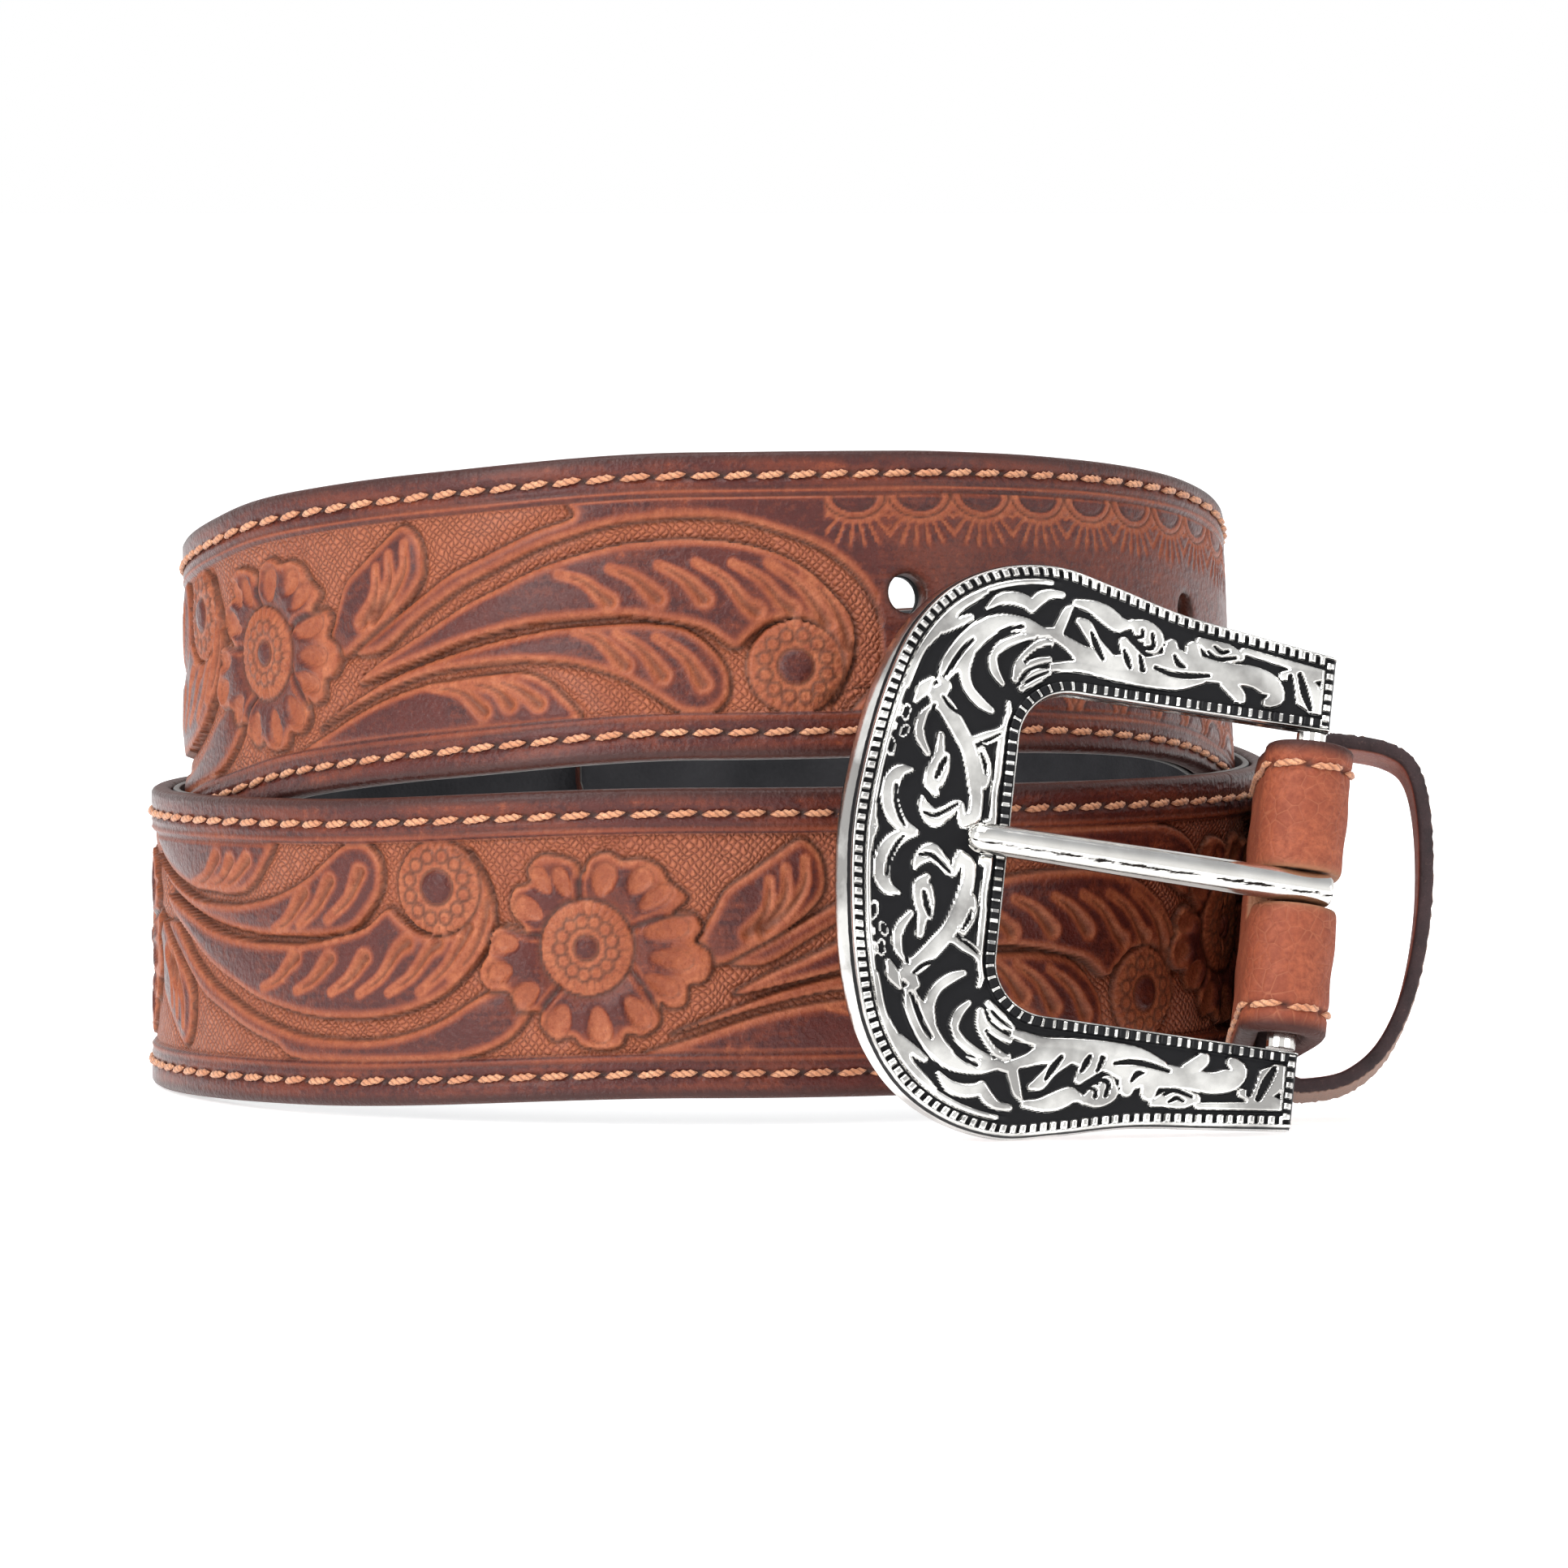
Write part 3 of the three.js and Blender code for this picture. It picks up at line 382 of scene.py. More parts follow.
class Tooling:
    """One repeat of the pattern as sheets of numbers: height in mm, stain, dark line and matting."""

    def __init__(self):
        self.x, self.w = np.meshgrid(TILE_X, TILE_W, indexing="ij")
        self.height = np.full(self.x.shape, -0.45)
        self.stain = np.zeros(self.x.shape)
        self.line = np.zeros(self.x.shape)
        self.matting = np.ones(self.x.shape)

    def near(self, line, pad):
        """The part of the sheets that lies within pad of a line."""
        part = []
        for k, places in enumerate((TILE_X, TILE_W)):
            low = int((line[:, k].min() - pad - places[0]) / TILE_STEP)
            high = int((line[:, k].max() + pad - places[0]) / TILE_STEP) + 1
            part.append(slice(*np.clip([low, high], 0, len(places))))
        return tuple(part)

    def lay(self, part, depth, level, crown, bevel, reach):
        """Presses the ground down round a shape and rounds the shape's own shoulders.

        Outside, the ground loses bevel times exp(distance / reach). Inside, the height is the level less
        crown times exp(-distance / 1.1)."""
        inside = depth > 0
        ground = self.height[part] - bevel * np.exp(np.minimum(depth, 0) / reach)
        self.height[part] = np.where(inside, level - crown * np.exp(-depth / 1.1), ground)
        rubbed = 0.06 + 0.94 * settled((depth - 0.25) / 1.3)
        self.stain[part] = np.where(inside, rubbed,
                                    self.stain[part] * (1 - 0.6 * np.exp(np.minimum(depth, 0) / 0.8)))
        # Dark line paint: the cut along the shape's outline, and just outside it a fading dark ring that is
        # painted shade below the cut's undercut.
        edge = np.where(inside, np.exp(-depth / 0.14), bell(np.minimum(depth, 0), 0.55))
        self.line[part] = np.maximum(np.where(inside, 0, self.line[part]), edge)
        self.matting[part] = np.where(inside, 0,
                                      self.matting[part] * (1 - np.exp(np.minimum(depth, 0) / 0.5)))

    def leaf(self, points, level=0.0, crown=0.32, bevel=0.55, reach=1.3):
        outline = smooth_line(points, closed=True)
        part = self.near(outline, 5.0)
        if self.x[part].size:
            self.lay(part, depth_inside(outline, self.x[part], self.w[part]), level, crown, bevel, reach)

    def cut(self, points, start=0.18, end=0.85, depth=0.62):
        """A comma cut: a round-bottomed groove that widens along its line, with a raised lip on each side."""
        p = np.asarray(points, float)
        grow = np.linspace(0, 1, len(p)) ** 1.3
        line = smooth_line(np.column_stack([p, start + (end - start) * grow]), each=6)
        part = self.near(line, 2.5)
        if not self.x[part].size:
            return
        away, half = off_line(line, self.x[part], self.w[part])
        bowl = np.clip(1 - (away / half) ** 2, 0, 1)
        self.height[part] += 0.12 * bell(away - half - 0.4, 0.35) - depth * (half / end) * bowl ** 0.7
        self.stain[part] *= 1 - 0.97 * settled(1.5 - away / (half + 0.5))
        self.line[part] = np.maximum(self.line[part], 0.7 * bell(away, half * 0.75) * (half > 0.25))

    def disc(self, centre, radius, eye, seeds, seed_at, flip):
        """A round of hatching, a ring of seeds and a domed eye."""
        x0, w0 = centre[0], centre[1] * flip
        part = self.near(np.array([[x0 - radius, w0 - radius], [x0 + radius, w0 + radius]]), 4.0)
        if not self.x[part].size:
            return
        dx, dw = self.x[part] - x0, self.w[part] - w0
        far = np.hypot(dx, dw)
        turn = np.arctan2(dw, dx)
        self.lay(part, radius - far, -0.12, 0.3, 0.5, 0.9)
        inside = far < radius
        hatch = 0.16 * np.cos(turn * 34) * settled((far - seed_at - 0.7) * 2.5) * settled((radius - far) * 2)
        slot = 2 * np.pi / seeds
        off = (turn / slot - np.floor(turn / slot) - 0.5) * slot
        seed = np.hypot(far * np.cos(off) - seed_at, far * np.sin(off))
        ring = 0.2 * bell(seed - 0.48, 0.24) - 0.12 * bell(seed, 0.26)
        dome = 0.42 * np.sqrt(np.clip(1 - (far / eye) ** 2, 0, 1)) - 0.2 * bell(far - eye, 0.28)
        self.height[part] += np.where(inside, hatch + ring + dome - 0.16, 0)
        self.stain[part] = np.where(inside, 0.05 + 0.9 * settled((eye + 0.1 - far) * 3), self.stain[part])
        dark = 0.95 * bell(seed - 0.85, 0.24) + bell(far - eye - 0.1, 0.24)
        dark = dark + 4.0 * np.clip(-hatch - 0.04, 0, 0.2)
        self.line[part] = np.where(inside, np.maximum(self.line[part] * 0.6, np.clip(dark, 0, 0.9)),
                                   self.line[part])

    def flower(self, x0):
        """A ragged round of petals about a disc. Each lobe is a hollow where its ellipse number, long way
        towards the middle, is under 1; stain lies deep round the disc and between the lobes and is rubbed off
        their rims. Near the outer end of each hollow a dark ring is painted shade."""
        outline = smooth_line([(x + x0, w) for x, w in FLOWER_EDGE], each=4, closed=True)
        part = self.near(outline, 5.0)
        if not self.x[part].size:
            return
        dx, dw = self.x[part] - x0 + 0.3, self.w[part] + 0.3
        far = np.hypot(dx, dw)
        depth = depth_inside(outline, self.x[part], self.w[part])
        self.lay(part, depth, 0.03, 0.3, 0.6, 1.1)
        bowl = np.zeros(far.shape)
        for x, w, long, wide in PETAL_LOBES:
            reach = np.hypot(x, w)
            a = ((dx - x) * x + (dw - w) * w) / reach / long
            b = ((dw - w) * x - (dx - x) * w) / reach / (wide * (1 + 0.22 * a))
            bowl = np.maximum(bowl, 1 - a * a - b * b)
        inside = depth > 0
        sink = 0.8 * np.sqrt(bowl) + 0.4 * settled((8.4 - far) / 2.6) * (bowl <= 0)
        rim = 0.12 * bell(bowl - 0.03, 0.07) * (bowl > 0)
        self.height[part] += np.where(inside, rim - sink, 0)
        stain = settled((13.6 - far) / 5.0) * settled((depth - 0.2) / 1.0) * (1 - 0.85 * settled(bowl * 2.2))
        for notch in PETAL_NOTCHES:
            line = smooth_line([(x, w, 0.3) for x, w in notch], each=6)
            away, wide = off_line(line, dx, dw)
            self.height[part] -= 0.5 * bell(away, 0.5) * inside
            self.line[part] = np.maximum(self.line[part], 0.95 * bell(away, 0.3) * inside)
            stain = stain * (1 - 0.7 * bell(away - 0.75, 0.3))
        self.stain[part] = np.where(inside, np.clip(stain * 1.15, 0, 1), self.stain[part])
        # Painted shade: a dark ring inside each lobe's hollow towards its outer end, carried in the dark line
        # paint.
        outer_end = settled((far - 8.2) / 2.0)
        edge = 0.5 * bell(bowl - 0.3, 0.14) * (bowl > 0) * outer_end
        self.line[part] = np.where(inside, np.maximum(self.line[part], edge), self.line[part])
        self.disc((x0 - 0.3, -0.3), 5.8, 1.45, 13, 3.3, 1)

    def scroll(self, x0, flip, stem=STEM):
        """The leafy scroll that starts at a flower, turned over where flip is -1."""
        def moved(points):
            return [(x + x0, w * flip) for x, w in points]
        self.leaf(moved(stem), level=0.02, bevel=0.6, reach=1.1)
        self.leaf(moved(FOOT_LEAF), level=-0.02, bevel=0.6)
        self.leaf(moved(LOW_LEAF), bevel=0.75)
        self.leaf(moved(BIG_LEAF), bevel=0.95, reach=1.5)
        self.leaf(moved(SIDE_LEAF), bevel=0.6, reach=0.9)
        for points in LEAF_CUTS:
            self.cut(moved(points))
        self.cut(moved([(71.4, -5.2), (73.4, -2.9), (76.3, -2.2)]), 0.3, 0.4, 0.3)
        self.disc((77.0 + x0, -7.8), 5.8, 2.1, 12, 3.9, flip)
        self.cut(moved([(79.6, -12.4), (83.1, -9.6), (84.6, -5.4)]), 0.3, 0.45, 0.3)


def one_repeat(flip, last=False):
    """A flower with the scroll before it and the scroll after it, which swings the other way. The last one
    runs out in plain raised leather."""
    sheet = Tooling()
    sheet.scroll(-FLOWER_PITCH, -flip)
    sheet.scroll(0.0, flip, LAST_STEM if last else STEM)
    sheet.flower(0.0)
    if not last:
        sheet.flower(FLOWER_PITCH)
    return np.stack([sheet.height, sheet.stain, sheet.line, sheet.matting])


REPEATS = np.stack([one_repeat(1), one_repeat(-1), one_repeat(1, last=True)])
STITCH_PITCH = 4.2
FIRST_HOLE_TURN = 652.5
HOLE_PITCH = 25.4
COIL_STEPS = int(COIL_MM[-1, 0] / TURN_STEP) + 1
FIRST_HOLE = np.interp(FIRST_HOLE_TURN, np.linspace(0.0, COIL_MM[-1, 0], COIL_STEPS), WALK[-COIL_STEPS:])
HOLE_AT = [FIRST_HOLE + HOLE_PITCH * i for i in range(5)]
HOLE_RISE = 1.0
HOLE_RADIUS = 2.5
SCALLOP_START = 872.0
SCALLOP_PITCH = 8.65
SEAM_TIP = 26.0


def seam_inset(length):
    """How far the stitching lies from the strap's edge: 3.1 mm, but 2.1 mm where the strap is narrower."""
    return 3.1 - settled((length - TAPER_START) / TAPER_LENGTH)


def seam_line():
    """The row of stitching on the upper side, by length and place across, 4.2 mm a stitch along the row."""
    tip = np.linspace(STRAP_LENGTH - SEAM_TIP, STRAP_LENGTH - 2.2, 160)
    length = np.concatenate([np.arange(-6.0, STRAP_LENGTH - SEAM_TIP, 0.5), tip])
    across = np.maximum(half_width(length) - seam_inset(length), 1.0)
    walked = np.concatenate([[0], np.cumsum(np.hypot(np.diff(length), np.diff(across)))])
    at = np.arange(0.0, walked[-1], STITCH_PITCH)
    return np.interp(at, walked, length), np.interp(at, walked, across)


SEAM_LENGTH, SEAM_ACROSS = seam_line()


def scallop_row(length, from_border):
    """Half moons that hang from the border line, each with a second arc inside it and a fan of short rays.

    The half moon is where the ellipse number (4.15 by 2.9 mm) is 1, the inner arc where it is 0.68, and the
    rays are the crests of a cosine of 22 times the angle from 1.05 to 2.5."""
    dx = (length - SCALLOP_START) % SCALLOP_PITCH - SCALLOP_PITCH / 2
    number = np.hypot(dx / 4.15, from_border / 2.9)
    angle = np.arctan2(from_border, dx)
    arcs = bell(number - 1.0, 0.055) + 0.8 * bell(number - 0.68, 0.06)
    rays = (settled((np.cos(angle * 22.0) - 0.3) * 2.2) * settled((number - 1.05) * 12)
            * settled((2.5 - number) * 1.6))
    shown = (from_border > 0) * settled((length - SCALLOP_START) * 2)
    moon = settled((0.8 - number) * 8)
    under = settled((number - 0.72) * 16) * settled((1.35 - number) * 6)
    return arcs * shown, rays * shown, moon * shown, under * shown


def pattern_at(length, across):
    """The repeat's four sheets read off at each place, each a mean of the four cells round it by nearness."""
    step = np.clip(np.floor((length - FIRST_FLOWER + 14.0) / FLOWER_PITCH), 0, LAST_FLOWER).astype(int)
    sheet = np.where(step == LAST_FLOWER, 2, step % 2)
    x = (length - FIRST_FLOWER - step * FLOWER_PITCH - TILE_X[0]) / TILE_STEP
    x = np.clip(x, 0, len(TILE_X) - 1.001)
    w = np.clip((across - TILE_W[0]) / TILE_STEP, 0, len(TILE_W) - 1.001)
    i, j = x.astype(int), w.astype(int)
    s, t = x - i, w - j
    near = 0.0
    for di, dj, share in ((0, 0, (1 - s) * (1 - t)), (1, 0, s * (1 - t)), (0, 1, (1 - s) * t), (1, 1, s * t)):
        near = near + REPEATS[sheet, :, i + di, j + dj] * share[..., None]
    return np.moveaxis(near, -1, 0)


def tooled_face(length, across, half):
    """Height of the grain face and its four paint numbers: stain, dark line, matting and edge."""
    side = np.abs(across)
    tooled = (side < BORDER) & (length > TOOLING_START) & (length < TOOLING_END)
    plain = (0.0, 0.82, 0.0, 0.0)
    height, stain, line, matting = (np.where(tooled, a, b) for a, b in zip(pattern_at(length, across), plain))
    stain = np.where(side > BORDER + 0.1, 0.9 + 0.14 * np.sin(length * 0.21 + side), stain)
    begun = settled((length - TOOLING_START + 2.0) * 2)
    for place, deep in ((13.45, 0.36), (14.4, 0.2)):
        groove = bell(side - place, 0.24) * begun
        height = height - deep * groove
        line = np.maximum(line, 0.55 * groove)
        stain = stain * (1 - 0.75 * bell(side - place + 0.35, 0.2) * begun)
    for row in (BORDER - across, BORDER + across):
        arcs, rays, moon, under = scallop_row(length, row)
        height = height - 0.3 * np.clip(arcs, 0, 1) - 0.22 * rays
        line = np.maximum(line, np.clip(0.8 * arcs, 0, 1))
        stain = stain * (1 - 0.95 * rays) * (1 - 0.7 * under) + 0.2 * moon
    from_seam = np.abs(half - seam_inset(length) - side)
    channel = bell(from_seam, 0.62)
    height = height - 0.3 * channel
    beat = np.interp(length, SEAM_LENGTH, np.arange(len(SEAM_LENGTH)))
    beat = (beat + 0.5 - np.floor(beat + 0.5) - 0.5) * STITCH_PITCH
    prick = bell(np.hypot(beat, from_seam), 0.42)
    height = height - 0.4 * prick
    line = np.maximum(line, np.clip(0.35 * channel + prick, 0, 1))
    stain = np.clip(stain, 0, 1)
    for at in HOLE_AT:
        rim = np.maximum(np.hypot(length - at, across - HOLE_RISE) - HOLE_RADIUS, 0)
        height = height - 0.3 * np.exp(-rim / 0.4)
        line = np.maximum(line, np.exp(-rim / 0.5) * 0.9)
        stain = np.maximum(stain, np.exp(-rim / 1.6))
    edge = settled((side - half + 1.9) / 1.5)
    return height, np.stack([stain, line, matting, edge], axis=-1)


def new_piece(name, body, node, finish, places, polygons, paint=None, unwrapped=None, flat_ends=False):
    """A piece that rides on a body, stands for a node and has its finish, from places in mm and polygon
    lists.

    The signed volume is the sum of each fan triangle's triple product; where it comes out negative every
    polygon is turned over, so that faces point outwards. All are smooth but the last two of one with flat
    ends."""
    places = np.asarray(places, float).reshape(-1, 3)
    middle = places.mean(0)
    volume = 0.0
    for p in polygons:
        q = places[p] - middle
        for k in range(1, p.shape[1] - 1):
            volume += np.einsum("ij,ij->", q[:, 0], np.cross(q[:, k], q[:, k + 1]))
    if volume < 0:
        polygons = [p[:, ::-1] for p in polygons]
    corners = np.concatenate([p.ravel() for p in polygons])
    sizes = np.concatenate([np.full(len(p), p.shape[1]) for p in polygons])
    starts = np.concatenate([[0], np.cumsum(sizes)[:-1]])
    smooth = np.ones(len(sizes), bool)
    if flat_ends:
        smooth[-2:] = False
    mesh = bpy.data.meshes.new(name)
    mesh.vertices.add(len(places))
    mesh.vertices.foreach_set("co", (places * 0.001).ravel())
    mesh.loops.add(len(corners))
    mesh.loops.foreach_set("vertex_index", corners.astype(np.int32))
    mesh.polygons.add(len(sizes))
    mesh.polygons.foreach_set("loop_start", starts.astype(np.int32))
    mesh.polygons.foreach_set("use_smooth", smooth)
    if unwrapped is not None:
        layer = mesh.uv_layers.new(name="along_the_leather")
        layer.data.foreach_set("uv", (np.asarray(unwrapped, float).reshape(-1, 2) * 0.001)[corners].ravel())
    if paint is not None:
        layer = mesh.color_attributes.new("paint", "FLOAT_COLOR", "POINT")
        layer.data.foreach_set("color", np.asarray(paint, float).reshape(-1).astype(np.float32))
    mesh.update(calc_edges=True)
    mesh.validate()
    mesh.materials.append(finish)
    piece = bpy.data.objects.new(name, mesh)
    bpy.context.collection.objects.link(piece)
    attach(piece, body)
    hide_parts(node)


def tube_polygons(rows, columns, gaps=(), ring=False):
    """Quads of a tube of rows by columns, closed round its columns, with two end caps and through openings. A
    ring has no caps: its last row meets its first.

    Each gap is (first row, last row, first front column, last front column, first back column, last back
    column). Its quads are left out on both faces and a wall joins the two rims."""
    i, j = np.meshgrid(np.arange(rows if ring else rows - 1), np.arange(columns), indexing="ij")
    keep = np.ones(i.shape, bool)
    for r0, r1, f0, f1, b0, b1 in gaps:
        keep[r0:r1, f0:f1] = False
        keep[r0:r1, b0:b1] = False
    n, k = (i + 1) % rows, (j + 1) % columns
    polygons = [np.stack([i * columns + j, n * columns + j, n * columns + k, i * columns + k], -1)[keep]]
    for r0, r1, f0, f1, b0, b1 in gaps:
        rim = [(r0, f) for f in range(f0, f1)] + [(r, f1) for r in range(r0, r1)]
        rim += [(r1, f) for f in range(f1, f0, -1)] + [(r, f0) for r in range(r1, r0, -1)]
        front = np.array([r * columns + f for r, f in rim])
        back = np.array([r * columns + b1 - (f - f0) for r, f in rim])
        polygons.append(np.column_stack([np.roll(front, -1), front, back, np.roll(back, -1)]))
    if not ring:
        polygons += [np.arange(columns)[None, :], ((rows - 1) * columns + np.arange(columns))[None, ::-1]]
    return polygons


def hole_warp(length, across, half_block=HOLE_RADIUS, rest=4.8):
    """Moves the square block of cells round each hole onto its circle.

    A place at box distance b from the hole's centre is scaled by b / its round distance at the hole's radius,
    easing to no change at b = 4.8 mm."""
    for at in HOLE_AT:
        x, w = length - at, across - HOLE_RISE
        box = np.maximum(np.abs(x), np.abs(w))
        near = (box < rest) & (box > half_block - 1e-6)
        ease = np.clip((rest - box) / (rest - half_block), 0, 1)
        scale = np.where(near, 1 + ease * (box / np.maximum(np.hypot(x, w), 1e-9) - 1), 1.0)
        length, across = at + x * scale, HOLE_RISE + w * scale
    return length, across


GRAIN_EDGE = [(18.35, -0.02), (18.7, -0.22), (18.92, -0.6), (19.0, -1.1), (19.0, -1.75), (18.9, -2.2),
              (18.6, -2.48)]
HOLE_CELLS = 14


def strap_columns(step, holes, slot_half=HOLE_RADIUS, cells=HOLE_CELLS, edge=GRAIN_EDGE, back=(5.4, 12.0)):
    """The section as (place across, height) columns: grain face, lower edge, flesh face, upper edge.

    Also gives the first and last column of the opening on the grain face and on the flesh face."""
    outer = edge[0][0]
    count = int(round((outer - slot_half) / step))
    right = np.linspace(slot_half, outer, count + 1)
    middle = np.linspace(-slot_half, slot_half, cells + 1)
    face = np.concatenate([-right[:0:-1], middle, right[1:]])
    first = count
    face_rows = np.column_stack([face, np.full(len(face), edge[0][1])])
    upper = np.array(edge[1:])
    flesh_side = np.array(back)
    flesh_middle = middle if holes else np.array([-slot_half, slot_half])
    flesh = np.concatenate([flesh_side[::-1], flesh_middle[::-1], -flesh_side])
    flesh_rows = np.column_stack([flesh, np.full(len(flesh), edge[-1][1])])
    lower = upper[::-1] * np.array([-1.0, 1.0])
    section = np.vstack([face_rows, upper, flesh_rows, lower])
    back_first = len(face_rows) + len(upper) + len(flesh_side)
    return section, len(face_rows), (first, first + cells, back_first, back_first + cells)


def spread_over(column, half, full, rise):
    """Columns fitted to the strap's half width there. The middle 5 mm each way keep their spacing and move up
    by the holes' rise; the rest is stretched evenly between them and the edges."""
    kept = np.minimum(5.0, half * 5.0 / 12.0)
    far = np.abs(column)
    inner = far * kept / 5.0
    outer = kept + (far - 5.0) * (half - kept) / (full - 5.0)
    away = np.where(far < 5.0, inner, outer)
    return np.sign(column) * away + rise * np.clip((half - away) / (half - kept), 0, 1)


def strap_rows(start, end, step):
    """Lengths of the rows, with fourteen even cells across each hole that lies in the stretch."""
    marks = [start]
    for at in HOLE_AT:
        if start < at < end:
            marks += [at - HOLE_RADIUS, at + HOLE_RADIUS]
    marks.append(end)
    rows, gaps = [], []
    for n, (a, b) in enumerate(zip(marks[:-1], marks[1:])):
        count = HOLE_CELLS if n % 2 else max(int(round((b - a) / step)), 1)
        if n % 2:
            gaps.append((len(rows), len(rows) + count))
        rows += list(np.linspace(a, b, count, endpoint=False))
    return np.array(rows + [end]), gaps


def noise(tree, place, scale, detail, roughness=0.5):
    """Cloudy noise from 0 to 1 that repeats its largest patches about scale times a metre."""
    return plugged(tree, "TexNoise", Vector=place, Scale=scale, Detail=detail,
                   Roughness=roughness).outputs["Fac"]


def paint_numbers(tree):
    """The four paint numbers that the mesh holds at each of its points."""
    paint = plugged(tree, "Attribute", {"attribute_name": "paint"})
    channels = plugged(tree, "SeparateColor", Color=paint.outputs["Color"])
    return *channels.outputs, paint.outputs["Alpha"]


def surface(tree, kind="Object"):
    """The place on the surface in metres: the piece's own place, or its UV map."""
    return plugged(tree, "TexCoord").outputs[kind]


def bumped(tree, height, distance, strength):
    """The surface's direction as small bumps of the given height turn it."""
    return plugged(tree, "Bump", Height=height, Distance=distance, Strength=strength).outputs["Normal"]


def tooled_leather():
    """The tooled leather: an orange-tan hide, rubbed with dark antique stain that stays on the high leaf
    faces and in the cut lines. Grain and matting are fine bumps, and a thin wax gives its soft shine."""
    hide, tree, shader = new_finish("tooled_leather")
    stain, line, matting, edge = paint_numbers(tree)
    place, solid = surface(tree, "UV"), surface(tree)
    cloud = noise(tree, solid, 95.0, 5.0, 0.62)
    fine = noise(tree, solid, 900.0, 4.0, 0.7)
    speck = noise(tree, solid, 2600.0, 2.0, 0.6)
    streak_place = plugged(tree, "Mapping", Vector=place, Scale=(90.0, 1400.0, 1.0)).outputs["Vector"]
    streak = noise(tree, streak_place, 1.0, 4.0)
    uneven = sum_up(tree, "ADD", ramp(tree, cloud, 0.3, 0.7, -0.4, 0.4),
                    ramp(tree, fine, 0.3, 0.7, -0.3, 0.3))
    uneven = sum_up(tree, "ADD", uneven, ramp(tree, streak, 0.35, 0.65, -0.1, 0.1))
    held = ramp(tree, sum_up(tree, "MULTIPLY", stain, sum_up(tree, "ADD", 1.0, uneven)), 0.0, 1.0)
    bright = mixed(tree, ramp(tree, cloud, 0.35, 0.65), (0.285, 0.074, 0.026, 1), (0.410, 0.136, 0.060, 1))
    tan = mixed(tree, ramp(tree, fine, 0.3, 0.7), bright, (0.210, 0.049, 0.021, 1))
    middle = mixed(tree, ramp(tree, uneven, -0.3, 0.3), (0.125, 0.025, 0.012, 1), (0.205, 0.045, 0.018, 1))
    dark = mixed(tree, ramp(tree, cloud, 0.35, 0.65), (0.034, 0.008, 0.008, 1), (0.075, 0.015, 0.011, 1))
    colour = mixed(tree, ramp(tree, held, 0.0, 0.55), tan, middle)
    colour = mixed(tree, ramp(tree, held, 0.45, 1.0), colour, dark)
    drift = plugged(tree, "TexNoise", Vector=solid, Scale=420.0, Detail=2.0).outputs["Color"]
    by_hand = plugged(tree, "VectorMath", {"operation": "MULTIPLY_ADD"})
    for number, value in enumerate((drift, (0.0016, 0.0016, 0.0), place)):
        put(tree, by_hand.inputs[number], value)
    turned = plugged(tree, "Mapping", Vector=by_hand.outputs["Vector"], Rotation=(0.0, 0.0, radians(42.0)),
                     Scale=(1000.0, 1000.0, 1.0))
    parts = plugged(tree, "SeparateXYZ", Vector=turned.outputs["Vector"])
    rows, files = (sum_up(tree, "ABSOLUTE",
                          sum_up(tree, "SINE", sum_up(tree, "MULTIPLY", parts.outputs[way], 4.2)))
                   for way in "XY")
    diamond = sum_up(tree, "MULTIPLY", rows, files)
    ground = mixed(tree, ramp(tree, diamond, 0.05, 0.45), (0.165, 0.042, 0.022, 1), (0.365, 0.116, 0.058, 1))
    ground = mixed(tree, ramp(tree, cloud, 0.45, 0.7, 0.0, 0.6), ground, (0.190, 0.043, 0.022, 1))
    colour = mixed(tree, ramp(tree, matting, 0.0, 1.0, 0.0, 0.85), colour, ground)
    # The dark line colour: antique stain in the cut lines, and painted shade in the rings just outside the
    # shapes' outlines and inside the flower's hollows.
    colour = mixed(tree, ramp(tree, line, 0.15, 1.0, 0.0, 0.86), colour, (0.034, 0.013, 0.008, 1))
    colour = mixed(tree, ramp(tree, edge, 0.1, 0.9, 0.0, 0.9), colour, (0.036, 0.012, 0.010, 1))
    colour = mixed(tree, ramp(tree, speck, 0.62, 0.8, 0.0, 0.5), colour, (0.06, 0.016, 0.010, 1))
    rough = sum_up(tree, "ADD", ramp(tree, held, 0.0, 1.0, 0.52, 0.30),
                   ramp(tree, fine, 0.3, 0.7, -0.06, 0.08))
    pressed = sum_up(tree, "MULTIPLY", sum_up(tree, "MULTIPLY", diamond, matting), 1.3)
    pores = plugged(tree, "TexVoronoi", Vector=solid, Scale=1500.0).outputs["Distance"]
    grain = sum_up(tree, "ADD", sum_up(tree, "MULTIPLY", fine, 0.9), sum_up(tree, "MULTIPLY", pores, 0.3))
    fill(tree, shader, Base_Color=colour, Roughness=rough, Specular_IOR_Level=0.24, Coat_Weight=0.06,
         Coat_Roughness=0.2, Normal=bumped(tree, sum_up(tree, "ADD", grain, pressed), 0.0003, 1.0))
    return hide


TOOLED_LEATHER = tooled_leather()


